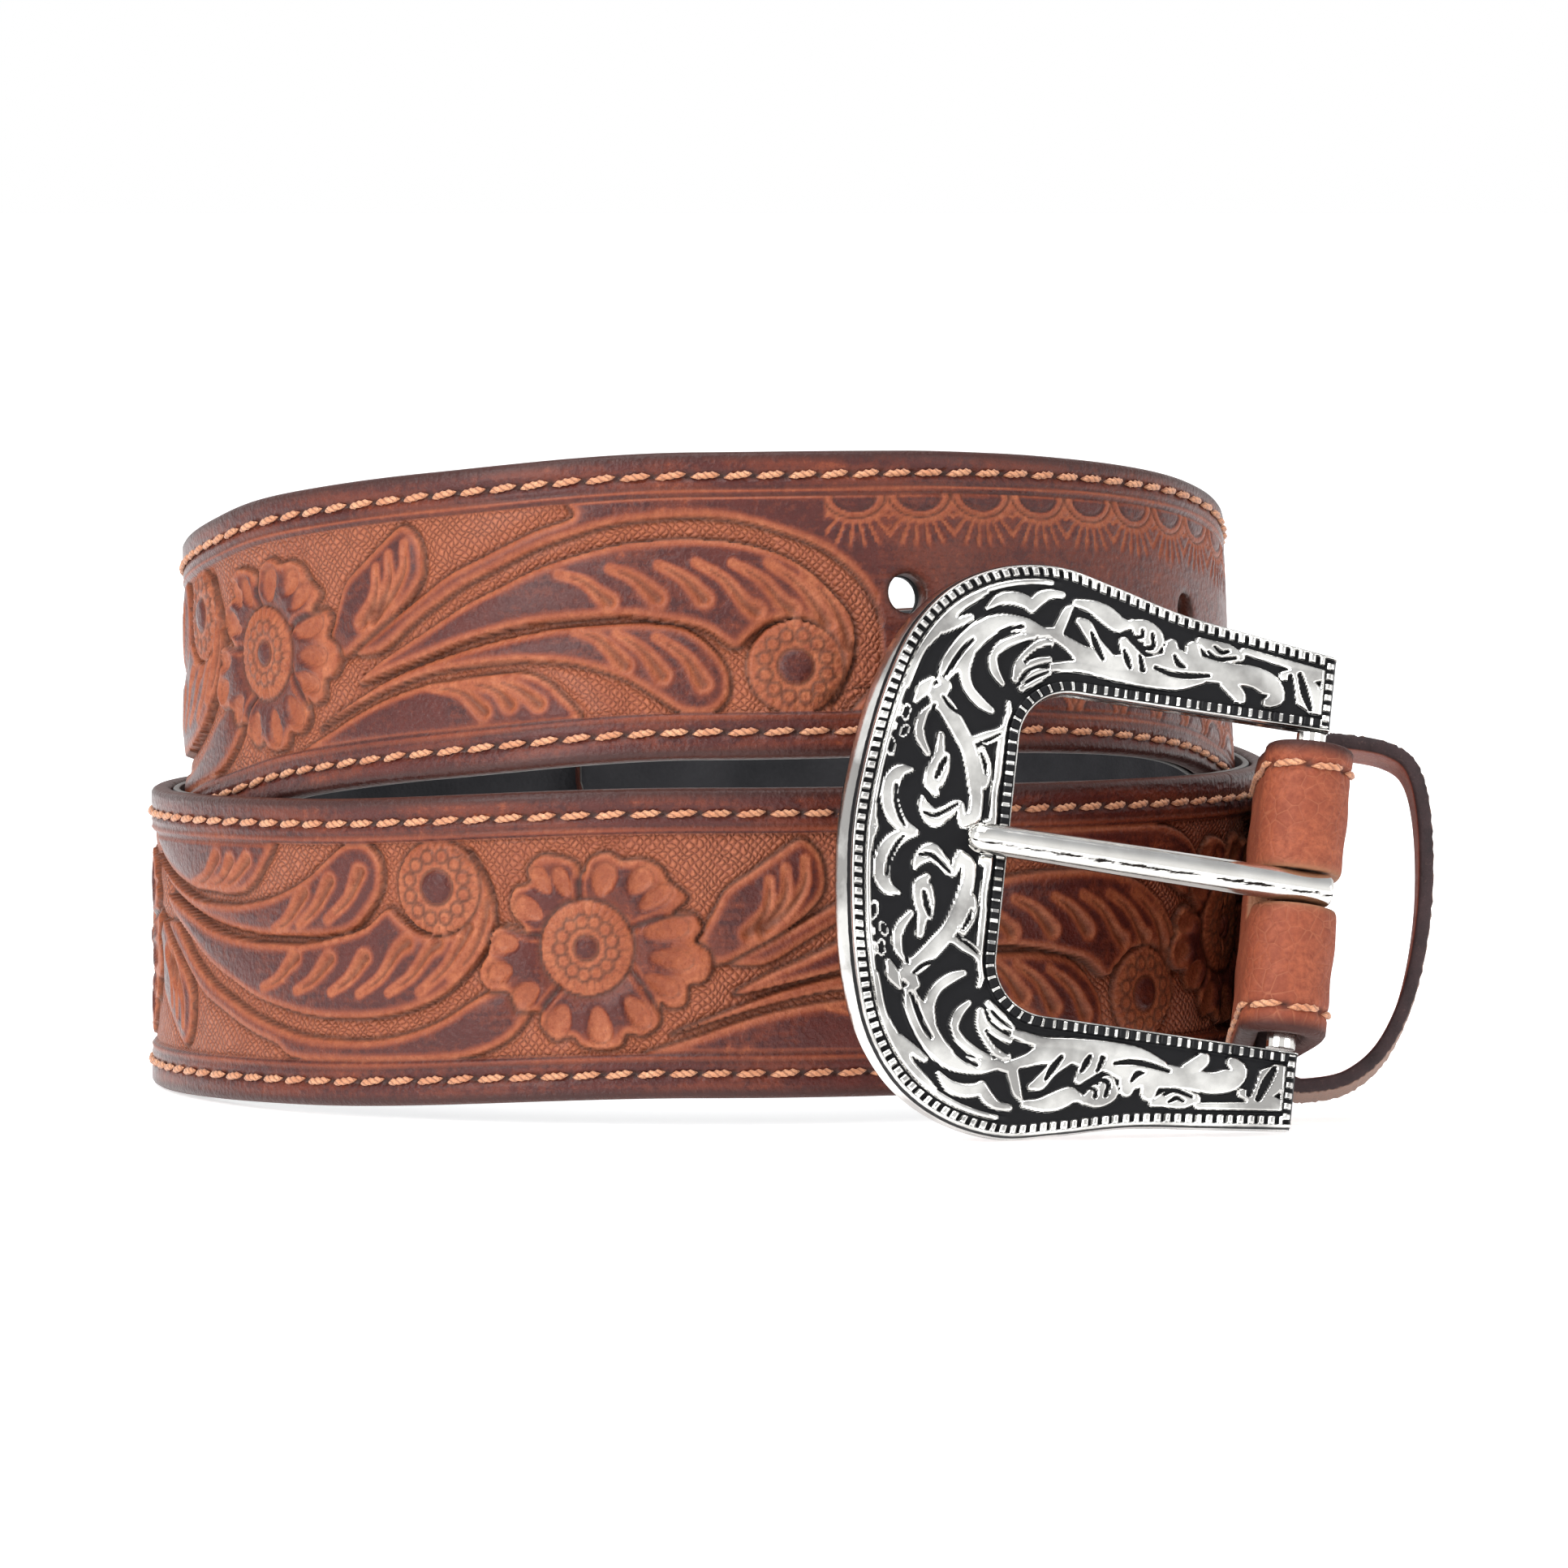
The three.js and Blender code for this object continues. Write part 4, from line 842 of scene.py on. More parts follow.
def strap_stretch(name, start, end, step):
    """One stretch of the tooled strap as a closed shell: the section's columns carried along its rows."""
    rows, hole_rows = strap_rows(start, end, step)
    section, face_count, openings = strap_columns(step, bool(hole_rows))
    level = section[None, :, 1]
    length = np.repeat(rows[:, None], len(section), axis=1)
    half = half_width(rows)[:, None]
    across = spread_over(section[None, :, 0], half, HALF_WIDTH, HOLE_RISE if hole_rows else 0.0)
    length, across = hole_warp(length, across)
    lift, paint = tooled_face(length, across, half)
    inner = settled((half - 0.65 - np.abs(across)) / 0.9)
    out = level + np.where((np.arange(len(section)) < face_count)[None, :], lift * inner, 0.0)
    on_edge = settled((-0.15 - level) * 4) * np.ones_like(out)
    paint[..., 3] = np.maximum(paint[..., 3], on_edge)
    paint[..., :3] *= (1 - on_edge)[..., None]
    closing = settled((STRAP_LENGTH - length) / TIP_ROUNDING)
    middle = -LEATHER_THICKNESS / 2
    thinner = middle + (out - middle) * (0.62 + 0.38 * closing)
    out = np.where(length > STRAP_LENGTH - TIP_ROUNDING, thinner, out)
    polygons = tube_polygons(len(rows), len(section), [(a, b, *openings) for a, b in hole_rows])
    new_piece(name, "strap", "strap_leather", TOOLED_LEATHER, on_strap(length, across, out),
              polygons, paint, np.stack([length, across], -1), flat_ends=True)


TIP_ROUNDING = 0.8
FINE = 0.32
COARSE = 0.6
for stretch_name, stretch_start, stretch_end, stretch_step in (
        ("strap_by_the_keeper", 40.0, 300.0, COARSE), ("strap_front_low", 300.0, 500.0, FINE),
        ("strap_behind", 500.0, 745.0, COARSE), ("strap_front_high", 745.0, 962.0, FINE),
        ("strap_tip", 962.0, STRAP_LENGTH, 0.55)):
    strap_stretch(stretch_name, stretch_start, stretch_end, stretch_step)


# The fold: the strap's own end wraps the bar and comes back 46 mm behind itself. It is skived, so its grain
# is plain and paler, with an oblong slot for the prong cut right through at the front.
FOLD_RADIUS = 4.1
FOLD_END = 40.0
TAIL_END = 46.0
TAIL_LEVEL = -6.55
TAIL_STEP = 1.35
TAIL_STEP_START = 25.0
TAIL_STEP_LENGTH = 7.0
SLOT_HALF = 2.2
SLOT_REACH = 8.5


def fold_line():
    """The leather's middle line as (length, height) points from the tail round the bar to 40 mm.

    Tail and strap are level lines; smooth steps over 15 mm take them to the half circle of 4.1 mm radius. The
    tail steps 1.35 mm deeper between 32 and 25 mm, where the keeper lies between it and the strap."""
    front_level = -LEATHER_THICKNESS / 2
    tail = np.linspace(TAIL_END, FOLD_BLEND, 40, endpoint=False)
    ease = np.linspace(FOLD_BLEND, 0.0, 40, endpoint=False)
    turn = np.linspace(0, np.pi, 44, endpoint=False)
    leave = np.linspace(0.0, FOLD_BLEND, 40, endpoint=False)
    run = np.linspace(FOLD_BLEND, FOLD_END, 46)
    near, far = FOLD_DEPTH - FOLD_RADIUS, FOLD_DEPTH + FOLD_RADIUS
    length = np.concatenate([tail, ease, -FOLD_RADIUS * np.sin(turn), leave, run])
    over_lining = TAIL_STEP * settled((tail - TAIL_STEP_START) / TAIL_STEP_LENGTH)
    level = np.concatenate([over_lining + TAIL_LEVEL,
                            TAIL_LEVEL + (near - TAIL_LEVEL) * settled(1 - ease / FOLD_BLEND),
                            FOLD_DEPTH - FOLD_RADIUS * np.cos(turn),
                            front_level + (far - front_level) * settled(1 - leave / FOLD_BLEND),
                            0 * run + front_level])
    return length, level


def plain_leather():
    """Plain skived leather: paler than the tooled face, mottled, with fine creases and darker rims."""
    hide, tree, shader = new_finish("plain_leather")
    _, line, flesh, rim = paint_numbers(tree)
    solid = surface(tree)
    cloud = noise(tree, solid, 160.0, 5.0, 0.65)
    fine = noise(tree, solid, 1300.0, 4.0, 0.7)
    crease = plugged(tree, "TexVoronoi", {"feature": "DISTANCE_TO_EDGE"}, Vector=solid,
                     Scale=520.0).outputs["Distance"]
    colour = mixed(tree, ramp(tree, cloud, 0.32, 0.68), (0.190, 0.042, 0.020, 1), (0.315, 0.086, 0.039, 1))
    colour = mixed(tree, ramp(tree, fine, 0.35, 0.7), colour, (0.165, 0.036, 0.018, 1))
    pale = ramp(tree, sum_up(tree, "ADD", crease, sum_up(tree, "MULTIPLY", cloud, 0.25)), 0.1, 0.16, 0.3, 0.0)
    colour = mixed(tree, pale, colour, (0.42, 0.165, 0.085, 1))
    colour = mixed(tree, ramp(tree, line, 0.1, 1.0, 0.0, 0.85), colour, (0.025, 0.009, 0.007, 1))
    colour = mixed(tree, ramp(tree, flesh, 0.0, 1.0, 0.0, 0.9), colour, (0.26, 0.115, 0.060, 1))
    colour = mixed(tree, ramp(tree, rim, 0.1, 0.9, 0.0, 0.95), colour, (0.034, 0.011, 0.009, 1))
    height = sum_up(tree, "ADD", sum_up(tree, "MULTIPLY", fine, 0.6),
                    ramp(tree, crease, 0.0, 0.12, 0.0, 0.35))
    fill(tree, shader, Base_Color=colour, Roughness=ramp(tree, fine, 0.3, 0.7, 0.5, 0.68),
         Specular_IOR_Level=0.22, Normal=bumped(tree, height, 0.0003, 0.55))
    return hide


def bar_fold():
    """The folded end: each row is square to the fold line, so a face point is the line plus its normal."""
    line_length, line_level = fold_line()
    number = np.arange(len(line_length))
    slope = np.gradient(np.column_stack([line_length, line_level]), axis=0)
    slope /= np.linalg.norm(slope, axis=1)[:, None]
    section, face_count, openings = strap_columns(0.55, True, slot_half=SLOT_HALF, cells=8)
    column = np.arange(len(section))[None, :]
    from_middle, level = section[None, :, 0], section[None, :, 1]
    in_slot = np.flatnonzero((line_length < SLOT_REACH) & (number > 40) & (number < 175))
    half = half_width(np.maximum(line_length, 0))[:, None]
    across = from_middle * half / HALF_WIDTH
    across = np.where(np.abs(np.abs(from_middle) - SLOT_HALF) < 1e-6, np.sign(across) * SLOT_HALF, across)
    seam = np.abs(half - seam_inset(0.0) - np.abs(across))
    on_face = column < face_count
    walked = np.concatenate([[0], np.cumsum(np.hypot(np.diff(line_length), np.diff(line_level)))])[:, None]
    channel = bell(seam, 0.6)
    beat = ((walked / STITCH_PITCH) % 1.0 - 0.5) * STITCH_PITCH
    prick = bell(np.hypot(beat, seam), 0.45)
    wave = 0.10 * np.sin(across * 0.8 + 0.6 * np.sin(walked * 0.35)) * bell(np.abs(across) - 9, 7)
    height = level + LEATHER_THICKNESS / 2 + np.where(on_face, wave - 0.28 * channel - 0.4 * prick, 0.0)
    slot_rim = np.exp(-np.clip(np.abs(across) - SLOT_HALF, 0, 9) / 0.35)
    slot_rim = slot_rim * ((number >= in_slot[0]) & (number <= in_slot[-1]))[:, None]
    height = height - np.where(on_face, 0.3 * slot_rim, 0.0)
    places = on_strap(line_length[:, None] - slope[:, 1:2] * height, across,
                      line_level[:, None] + slope[:, 0:1] * height)
    on_edge = settled((-0.15 - level) * 4) * np.ones_like(height)
    rim = settled((np.abs(across) - half + 2.6) / 2.4)
    flesh = (column > face_count + 5) & (column < len(section) - 6)
    paint = np.stack([0 * height, np.clip(0.25 * channel + prick, 0, 1) * on_face,
                      np.maximum(slot_rim, flesh * 1.0), np.maximum(on_edge * ~flesh, rim)], -1)
    polygons = tube_polygons(len(line_length), len(section), [(in_slot[0], in_slot[-1], *openings)])
    new_piece("strap_fold", "strap", "strap_leather", plain_leather(), places, polygons, paint,
              np.stack([walked + 0 * across, across], -1), flat_ends=True)
    return line_length, line_level, slope, walked[:, 0]


FOLD_LENGTH, FOLD_LEVEL, FOLD_SLOPE, FOLD_WALK = bar_fold()


# The stitching: a two-ply waxed thread along both edges, sewn through strap and lining. Each stitch is a
# short slanted twist that dives into its own prick hole.
STITCH_LONG = 3.7
STITCH_THICK = 0.52
ROWS_START = 16.0
INSIDE_LEVEL = -3.62


def stitch_shape(around, rings, twist=1.9):
    """One stitch as (along, across, up) by ring and angle: a capsule whose radius rises and falls twice
    round, turning as it goes, so that the two plies show."""
    s = np.linspace(-1, 1, rings)[:, None]
    angle = np.linspace(0, 2 * np.pi, around, endpoint=False)[None, :]
    body = np.sqrt(np.clip(1 - np.abs(s) ** 3.2, 0.0, 1)) * (1 - 0.35 * (np.abs(s) > 0.999))
    radius = STITCH_THICK * np.maximum(body, 0.12) * (0.8 + 0.2 * np.cos(2 * (angle - twist * np.pi * s)))
    up = radius * np.sin(angle) * 0.85 - 0.34 * np.abs(s) ** 3
    return np.stack([STITCH_LONG / 2 * s + 0 * angle, radius * np.cos(angle), up], -1).reshape(-1, 3)


def sewn(name, thread, length, across, slant, place_of, around=7, rings=9):
    """All the stitches of one row in one mesh: the shape, turned by its slant, at each seam place."""
    along, side, up = stitch_shape(around, rings).T
    c, s = np.cos(slant)[:, None], np.sin(slant)[:, None]
    x = along * c - side * s
    places = place_of(length[:, None] + x, across[:, None] + (along * s + side * c), up + 0 * x)
    first = (np.arange(len(length)) * around * rings)[:, None, None]
    quads, *ends = tube_polygons(rings, around)
    polygons = [(quads[None] + first).reshape(-1, 4), (np.vstack(ends)[None] + first).reshape(-1, around)]
    unwrapped = np.broadcast_to(np.stack([along, np.arctan2(up, side)], -1), x.shape + (2,))
    new_piece(name, "strap", "strap_leather", thread, places, polygons, None, unwrapped)


def waxed_thread():
    """Golden tan thread with fine fibres; the groove between its two plies is painted darker, as painted
    shade.
    """
    thread, tree, shader = new_finish("waxed_thread")
    solid = surface(tree)
    tone = noise(tree, solid, 420.0, 3.0)
    fibre = noise(tree, solid, 4200.0, 3.0, 0.7)
    colour = mixed(tree, ramp(tree, tone, 0.35, 0.65), (0.50, 0.20, 0.095, 1), (0.66, 0.33, 0.18, 1))
    colour = mixed(tree, ramp(tree, fibre, 0.4, 0.75), colour, (0.33, 0.12, 0.045, 1))
    twist = plugged(tree, "SeparateXYZ", Vector=surface(tree, "UV"))
    turn = sum_up(tree, "SUBTRACT", sum_up(tree, "MULTIPLY", twist.outputs["Y"], 2000.0),
                  sum_up(tree, "MULTIPLY", twist.outputs["X"], 6450.0))
    # Painted shade: the thread's colour turns dark along the groove between its two plies.
    groove = ramp(tree, sum_up(tree, "COSINE", turn), -0.2, -0.95, 0.0, 0.75)
    fill(tree, shader, Base_Color=mixed(tree, groove, colour, (0.16, 0.05, 0.02, 1)), Roughness=0.55,
         Sheen_Weight=0.15, Normal=bumped(tree, fibre, 0.0001, 0.5))
    return thread


def black_thread():
    """Black thread whose fibres are a little paler."""
    thread, tree, shader = new_finish("black_thread")
    fibre = noise(tree, surface(tree), 3800.0, 3.0)
    colour = mixed(tree, ramp(tree, fibre, 0.35, 0.7), (0.012, 0.011, 0.011, 1), (0.05, 0.045, 0.043, 1))
    fill(tree, shader, Base_Color=colour, Roughness=0.5)
    return thread


WAXED_THREAD = waxed_thread()
BLACK_THREAD = black_thread()
uneven_hand = np.random.default_rng(7)
between = 0.5 * (SEAM_LENGTH[1:] + SEAM_LENGTH[:-1])
in_rows = between > ROWS_START
between = between[in_rows]
between_across = 0.5 * (SEAM_ACROSS[1:] + SEAM_ACROSS[:-1])[in_rows]
heading = np.arctan2(np.diff(SEAM_ACROSS), np.diff(SEAM_LENGTH))[in_rows]
for seam_name, seam_side in (("upper", 1.0), ("lower", -1.0)):
    slants = heading * seam_side + 0.11 + 0.03 * uneven_hand.standard_normal(len(between))
    sewn("stitches_" + seam_name, WAXED_THREAD, between, seam_side * between_across, slants,
         lambda at, across, up: on_strap(at, across, up + 0.05))
    sewn("stitches_inside_" + seam_name, BLACK_THREAD, between, seam_side * (between_across - 0.2), -slants,
         lambda at, across, up: on_strap(at, across, INSIDE_LEVEL - up * 0.6), around=6, rings=5)


def on_fold(walked, across, up):
    """Places on the fold by distance walked along its line, place across and height above its grain face."""
    length, level, run, rise = (np.interp(walked, FOLD_WALK, column)
                                for column in (FOLD_LENGTH, FOLD_LEVEL, *FOLD_SLOPE.T))
    height = up + LEATHER_THICKNESS / 2
    return on_strap(length - rise * height, across, level + run * height)


def fold_stitches():
    """Stitches on both edges of the fold, one pitch apart, from the tail to where the strap's rows start."""
    start_of_rows = FOLD_WALK[-1] - (FOLD_END - ROWS_START + 0.5)
    walked = np.arange(STITCH_PITCH, start_of_rows, STITCH_PITCH)
    length = np.interp(walked, FOLD_WALK, FOLD_LENGTH)
    across = half_width(np.maximum(length, 0)) - seam_inset(0.0)
    sewn("stitches_fold", WAXED_THREAD, np.tile(walked, 2), np.concatenate([across, -across]),
         np.full(2 * len(walked), 0.12), lambda at, across, up: on_fold(at, across, up + 0.05))


fold_stitches()


# The lining: a thin black synthetic sheet sewn to the flesh side from the fold to the tip, punched through
# with the leather, its cut edge a little paler.
LINING_TOP = -2.8
LINING_BOTTOM = -3.65
LINING_START = 27.2
LINING_INSET = 0.2
LINING_HALF = HALF_WIDTH - LINING_INSET


def lining_finish():
    """Matt black synthetic with a fine pebble grain and a paler cut edge."""
    sheet, tree, shader = new_finish("black_lining")
    solid = surface(tree)
    pebble = plugged(tree, "TexVoronoi", Vector=solid, Scale=1500.0).outputs["Distance"]
    cloud = noise(tree, solid, 80.0, 4.0)
    cut = ramp(tree, paint_numbers(tree)[3], 0.0, 1.0, 0.0, 0.8)
    colour = mixed(tree, ramp(tree, cloud, 0.3, 0.7), (0.013, 0.013, 0.015, 1), (0.030, 0.029, 0.032, 1))
    fill(tree, shader, Base_Color=mixed(tree, cut, colour, (0.20, 0.19, 0.18, 1)), Specular_IOR_Level=0.2,
         Roughness=ramp(tree, cloud, 0.3, 0.7, 0.5, 0.62), Normal=bumped(tree, pebble, 0.0002, 0.4))
    return sheet


def lining_sheet():
    """A closed flat tube under the leather: rows 1.6 mm apart, finer at the holes, with straight edges."""
    rows, hole_rows = strap_rows(LINING_START, STRAP_LENGTH, 1.6)
    edge = [(LINING_HALF - 0.1, LINING_TOP), (LINING_HALF, LINING_TOP - 0.1),
            (LINING_HALF, LINING_BOTTOM + 0.1), (LINING_HALF - 0.1, LINING_BOTTOM)]
    section, _, openings = strap_columns(2.6, True, edge=edge)
    level = section[None, :, 1]
    length = np.repeat(rows[:, None], len(section), axis=1)
    half = half_width(rows)[:, None] - LINING_INSET
    across = spread_over(section[None, :, 0], half, LINING_HALF, HOLE_RISE)
    length, across = hole_warp(length, across)
    seam = np.abs(half - seam_inset(length) - np.abs(across))
    out = level + np.where(level < LINING_BOTTOM + 0.05, 0.05 * bell(seam, 1.2), 0.0)
    paint = np.zeros(out.shape + (4,))
    paint[..., 3] = (level < LINING_TOP - 0.05) & (level > LINING_BOTTOM + 0.05)
    polygons = tube_polygons(len(rows), len(section), [(a, b, *openings) for a, b in hole_rows])
    new_piece("lining", "strap", "strap_lining", lining_finish(), on_strap(length, across, out),
              polygons, paint, np.stack([length, across], -1), flat_ends=True)


lining_sheet()


# The keeper: a loop of the same leather, 11.5 mm wide, closed behind the tail. Its cut edges are dyed dark;
# the flesh side inside it is rough and fuzzy.
KEEPER_AT = 18.25
KEEPER_WIDTH = 11.5
KEEPER_THICK = 1.9
KEEPER_MM = [(-3.9, 0), (-3.9, 12), (-3.9, 18.4), (-3.5, 19.9), (-2.2, 20.7), (0, 21.2), (2, 21.5), (8, 21),
             (11.4, 18.6), (13.4, 12), (14.3, 2), (13.5, -8), (11, -15.5), (7, -19.8), (2, -21.4), (0, -21.2),
             (-2.2, -20.7), (-3.5, -19.9), (-3.9, -18.4), (-3.9, -12)]


def keeper_finish():
    """Edge-dyed leather: dark purple-brown edges, reddish grain outside and fuzzy pale flesh inside."""
    hide, tree, shader = new_finish("keeper_leather")
    on_grain, on_flesh, _, _ = paint_numbers(tree)
    solid = surface(tree)
    cloud = noise(tree, solid, 230.0, 5.0, 0.65)
    fine = noise(tree, solid, 1900.0, 4.0, 0.7)
    edge = mixed(tree, ramp(tree, cloud, 0.35, 0.7), (0.018, 0.010, 0.011, 1), (0.042, 0.022, 0.023, 1))
    edge = mixed(tree, ramp(tree, fine, 0.6, 0.8, 0.0, 0.6), edge, (0.13, 0.075, 0.065, 1))
    grain = mixed(tree, ramp(tree, cloud, 0.3, 0.7), (0.20, 0.045, 0.026, 1), (0.34, 0.085, 0.04, 1))
    flesh = mixed(tree, ramp(tree, fine, 0.3, 0.7), (0.12, 0.055, 0.035, 1), (0.26, 0.14, 0.09, 1))
    colour = mixed(tree, on_flesh, mixed(tree, on_grain, edge, grain), flesh)
    fill(tree, shader, Base_Color=colour, Roughness=ramp(tree, fine, 0.3, 0.7, 0.42, 0.62),
         Specular_IOR_Level=0.25, Normal=bumped(tree, sum_up(tree, "ADD", fine, cloud), 0.0003, 0.5))
    return hide


def keeper_band():
    """A flat section carried round a closed curve through the loop's points: thickness along the curve's
    normal, width along the strap. The flesh side is roughened by a sum of sines of unlike lengths."""
    line = smooth_line(KEEPER_MM, each=13, closed=True)
    tangent = np.roll(line, -1, axis=0) - np.roll(line, 1, axis=0)
    tangent /= np.linalg.norm(tangent, axis=1)[:, None]
    side = np.column_stack([tangent[:, 1], -tangent[:, 0]])
    t, w = KEEPER_THICK / 2, KEEPER_WIDTH / 2
    grain = [(t - 0.02, x) for x in np.linspace(-w + 0.5, w - 0.5, 9)]
    corner = [(t - 0.16, w - 0.12), (t - 0.5, w), (0.0, w), (-t + 0.4, w - 0.02), (-t + 0.1, w - 0.15)]
    flesh = [(-t, x) for x in np.linspace(w - 0.5, -w + 0.5, 9)]
    section = np.array(grain + corner + flesh + [(a, -b) for a, b in corner[::-1]])
    number = np.arange(len(section))
    along = section[None, :, 1]
    walked = np.arange(len(line))[:, None] * 0.55
    fuzz = (np.sin(walked * 3.1 + along * 2.7) + np.sin(walked * 7.3 - along * 4.9)
            + np.sin(walked * 5.1 + 1.3)) * 0.045 + 0.03
    thick = section[None, :, 0] + np.where((number >= 13) & (number < 25), fuzz, 0.0)
    out = line[:, 0:1] + side[:, 0:1] * thick
    across = line[:, 1:2] + side[:, 1:2] * thick
    base = strap_axes(KEEPER_AT)
    places = base[0] + along[..., None] * base[1] + across[..., None] * base[2] + out[..., None] * base[3]
    paint = np.zeros(thick.shape + (4,))
    paint[..., 0] = number < 9
    paint[..., 1] = (number >= 14) & (number < 23)
    new_piece("keeper", "strap", "keeper_loop", keeper_finish(), places,
              tube_polygons(len(line), len(section), ring=True), paint,
              np.stack([walked + 0 * thick, along + 0 * thick], -1))


keeper_band()
